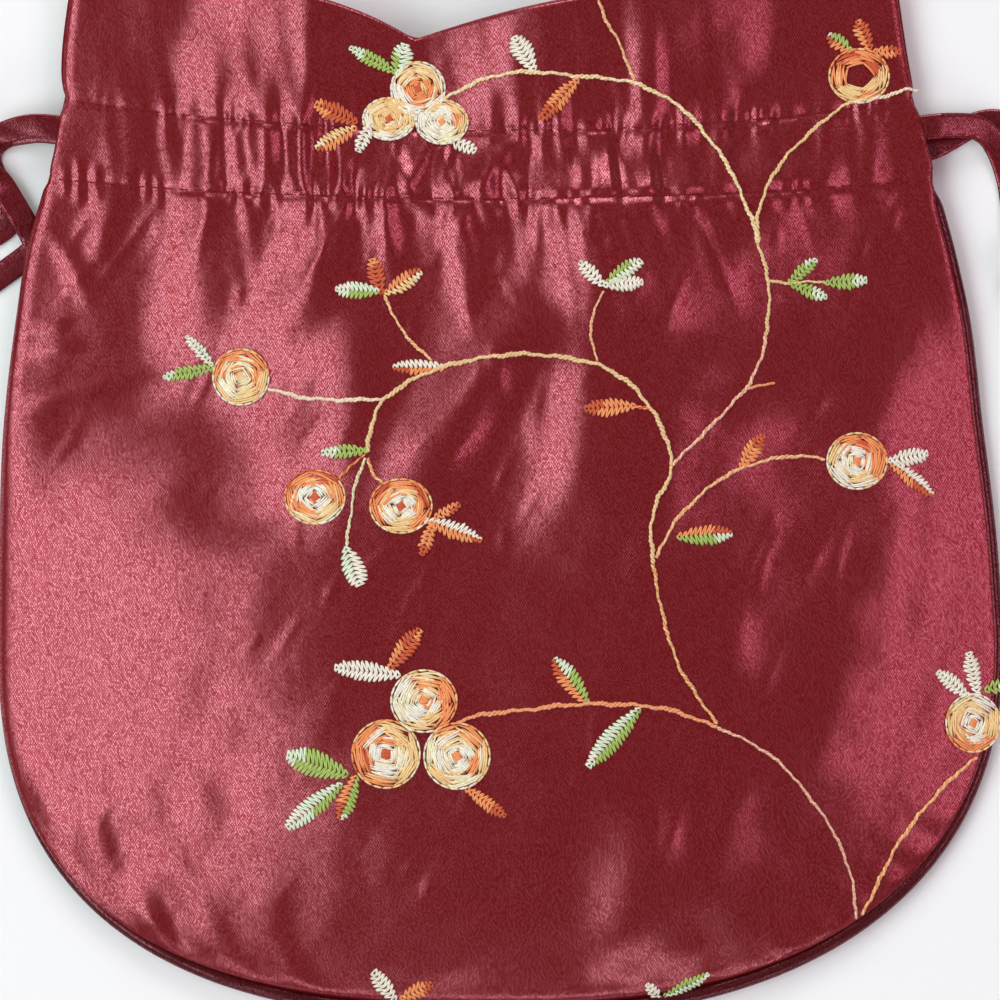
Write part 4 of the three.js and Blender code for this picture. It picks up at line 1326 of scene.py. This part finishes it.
def addRoses():
    work = newWork()
    draw = np.random.default_rng(9)
    for centreX, centreY, radiusX, radiusY, inner, eye, warm, warmth, innerFrom in roses:
        centre, radii = np.array((centreX, centreY)), np.array((radiusX, -radiusY))
        turned = draw.uniform(0, 2 * np.pi)
        rings = roseLook["rings"] if eye is not None else roseLook["rings"][:2]
        for level, ring in enumerate(rings):
            for side in range(ring[2]):
                turn = turned + 2 * np.pi * side / ring[2] + draw.normal(0, roseLook["sideTurn"])
                tone = np.cos(turn - np.radians(warm)) + warmth + draw.normal(0, roseLook["toneSpread"])
                colours = (warmColour(tone), warmColour(tone - roseLook["toneStep"]))
                if level == 2 or (level == 1 and draw.uniform() > innerFrom):
                    colours = (inner, warmColour(tone))
                addBand(work, draw, centre, radii, turn, ring, colours)
            turned += roseLook["ringTurn"]
        for turn in np.arange(roseLook["rim"]) * 2 * np.pi / roseLook["rim"] + turned:
            tone = np.cos(turn - np.radians(warm)) + warmth + draw.normal(0, roseLook["rimSpread"])
            ends = [centre + radii * (np.cos(turn + s), np.sin(turn + s)) for s in roseLook["rimEnds"]]
            colour = warmColour(tone - roseLook["rimStep"])
            addStitch(work, *ends, roseLook["radius"], colour, roseLook["rimLift"])
        if eye is not None:
            lift = roseLook["dome"] * roseLook["domeShare"]
            for offset in np.linspace(-roseLook["eyeReach"], roseLook["eyeReach"], roseLook["eyeStitches"]):
                half, up = roseLook["eye"] * np.sqrt(1 - offset**2), roseLook["eye"] * offset
                first = centre + radii * (-half, up)
                second = centre + radii * (half, up + draw.normal(0, roseLook["eyeUneven"]))
                addStitch(work, first, second, roseLook["radius"], eye, lift)
    piece = finishWork(work, "embroidered_roses", embroideryThreads)
    return piece


embroidery = [addStems(), addLeaves(), addRoses()]
print("embroidery made:", [len(piece.data.polygons) for piece in embroidery], "faces")

# Floor and light
stageLook = {
    "floor": (253, 255, 255),
    "floorShade": (0.975, 1.0),
    "floorCloud": 6.0,
    "floorRoughness": 0.6,
    "floorSide": 3.0,
    "world": 0.17,
}
# place and size in metres, power in watts, colour
lights = {
    "window_left": ((-1.03, -0.16, 1.3), (2.55, 1.36), 13.2, (0.93, 1.0, 1.0)),
    "window_bright": ((-0.88, -0.16, 1.2), (1.6, 0.75), 7.3, (0.93, 1.0, 1.0)),
    "window_right": ((1.08, -0.15, 1.02), (1.2, 0.7), 4.8, (1.0, 0.6, 0.76)),
    "window_top": ((0.1, 1.5, 0.85), (1.4, 0.6), 12.4, (1.0, 1.0, 1.0)),
    "window_near": ((0.1, -1.6, 0.8), (1.6, 0.5), 4.5, (1.0, 1.0, 1.0)),
}
bpy.context.scene.view_settings.view_transform = "Standard"


def addFloor():
    half = stageLook["floorSide"] / 2
    mesh = bpy.data.meshes.new("floor")
    corners = [(-half, -half, 0), (half, -half, 0), (half, half, 0), (-half, half, 0)]
    mesh.from_pydata(corners, [], [(0, 1, 2, 3)])
    material, nodes, links = startMaterial("pale_floor")
    shader = nodes["Principled BSDF"]
    shader.inputs["Roughness"].default_value = stageLook["floorRoughness"]
    cloud = placedTexture(nodes, links, "ShaderNodeTexNoise", 0, (1, 1, 1))
    cloud.inputs["Scale"].default_value = stageLook["floorCloud"]
    shades = [linear(*(np.array(stageLook["floor"]) * share)) for share in stageLook["floorShade"]]
    links.new(colourRamp(nodes, links, cloud.outputs["Fac"], (0, 1), shades), shader.inputs["Base Color"])
    mesh.materials.append(material)
    floor = bpy.data.objects.new("floor", mesh)
    bpy.context.collection.objects.link(floor)


def addLights():
    for name, (place, size, power, colour) in lights.items():
        data = bpy.data.lights.new(name, "AREA")
        data.shape = "RECTANGLE"
        data.size, data.size_y = size
        data.energy = power
        data.color = colour
        lamp = bpy.data.objects.new(name, data)
        lamp.location = place
        lamp.rotation_mode = "QUATERNION"
        lamp.rotation_quaternion = (-Vector(place)).to_track_quat("-Z", "Y")
        bpy.context.collection.objects.link(lamp)
    world = bpy.data.worlds.new("studio")
    world.use_nodes = True
    world.node_tree.nodes["Background"].inputs["Strength"].default_value = stageLook["world"]
    world.node_tree.nodes["Background"].inputs["Color"].default_value = (1, 1, 1, 1)
    bpy.context.scene.world = world


addFloor()
addLights()
print("floor and lights placed")
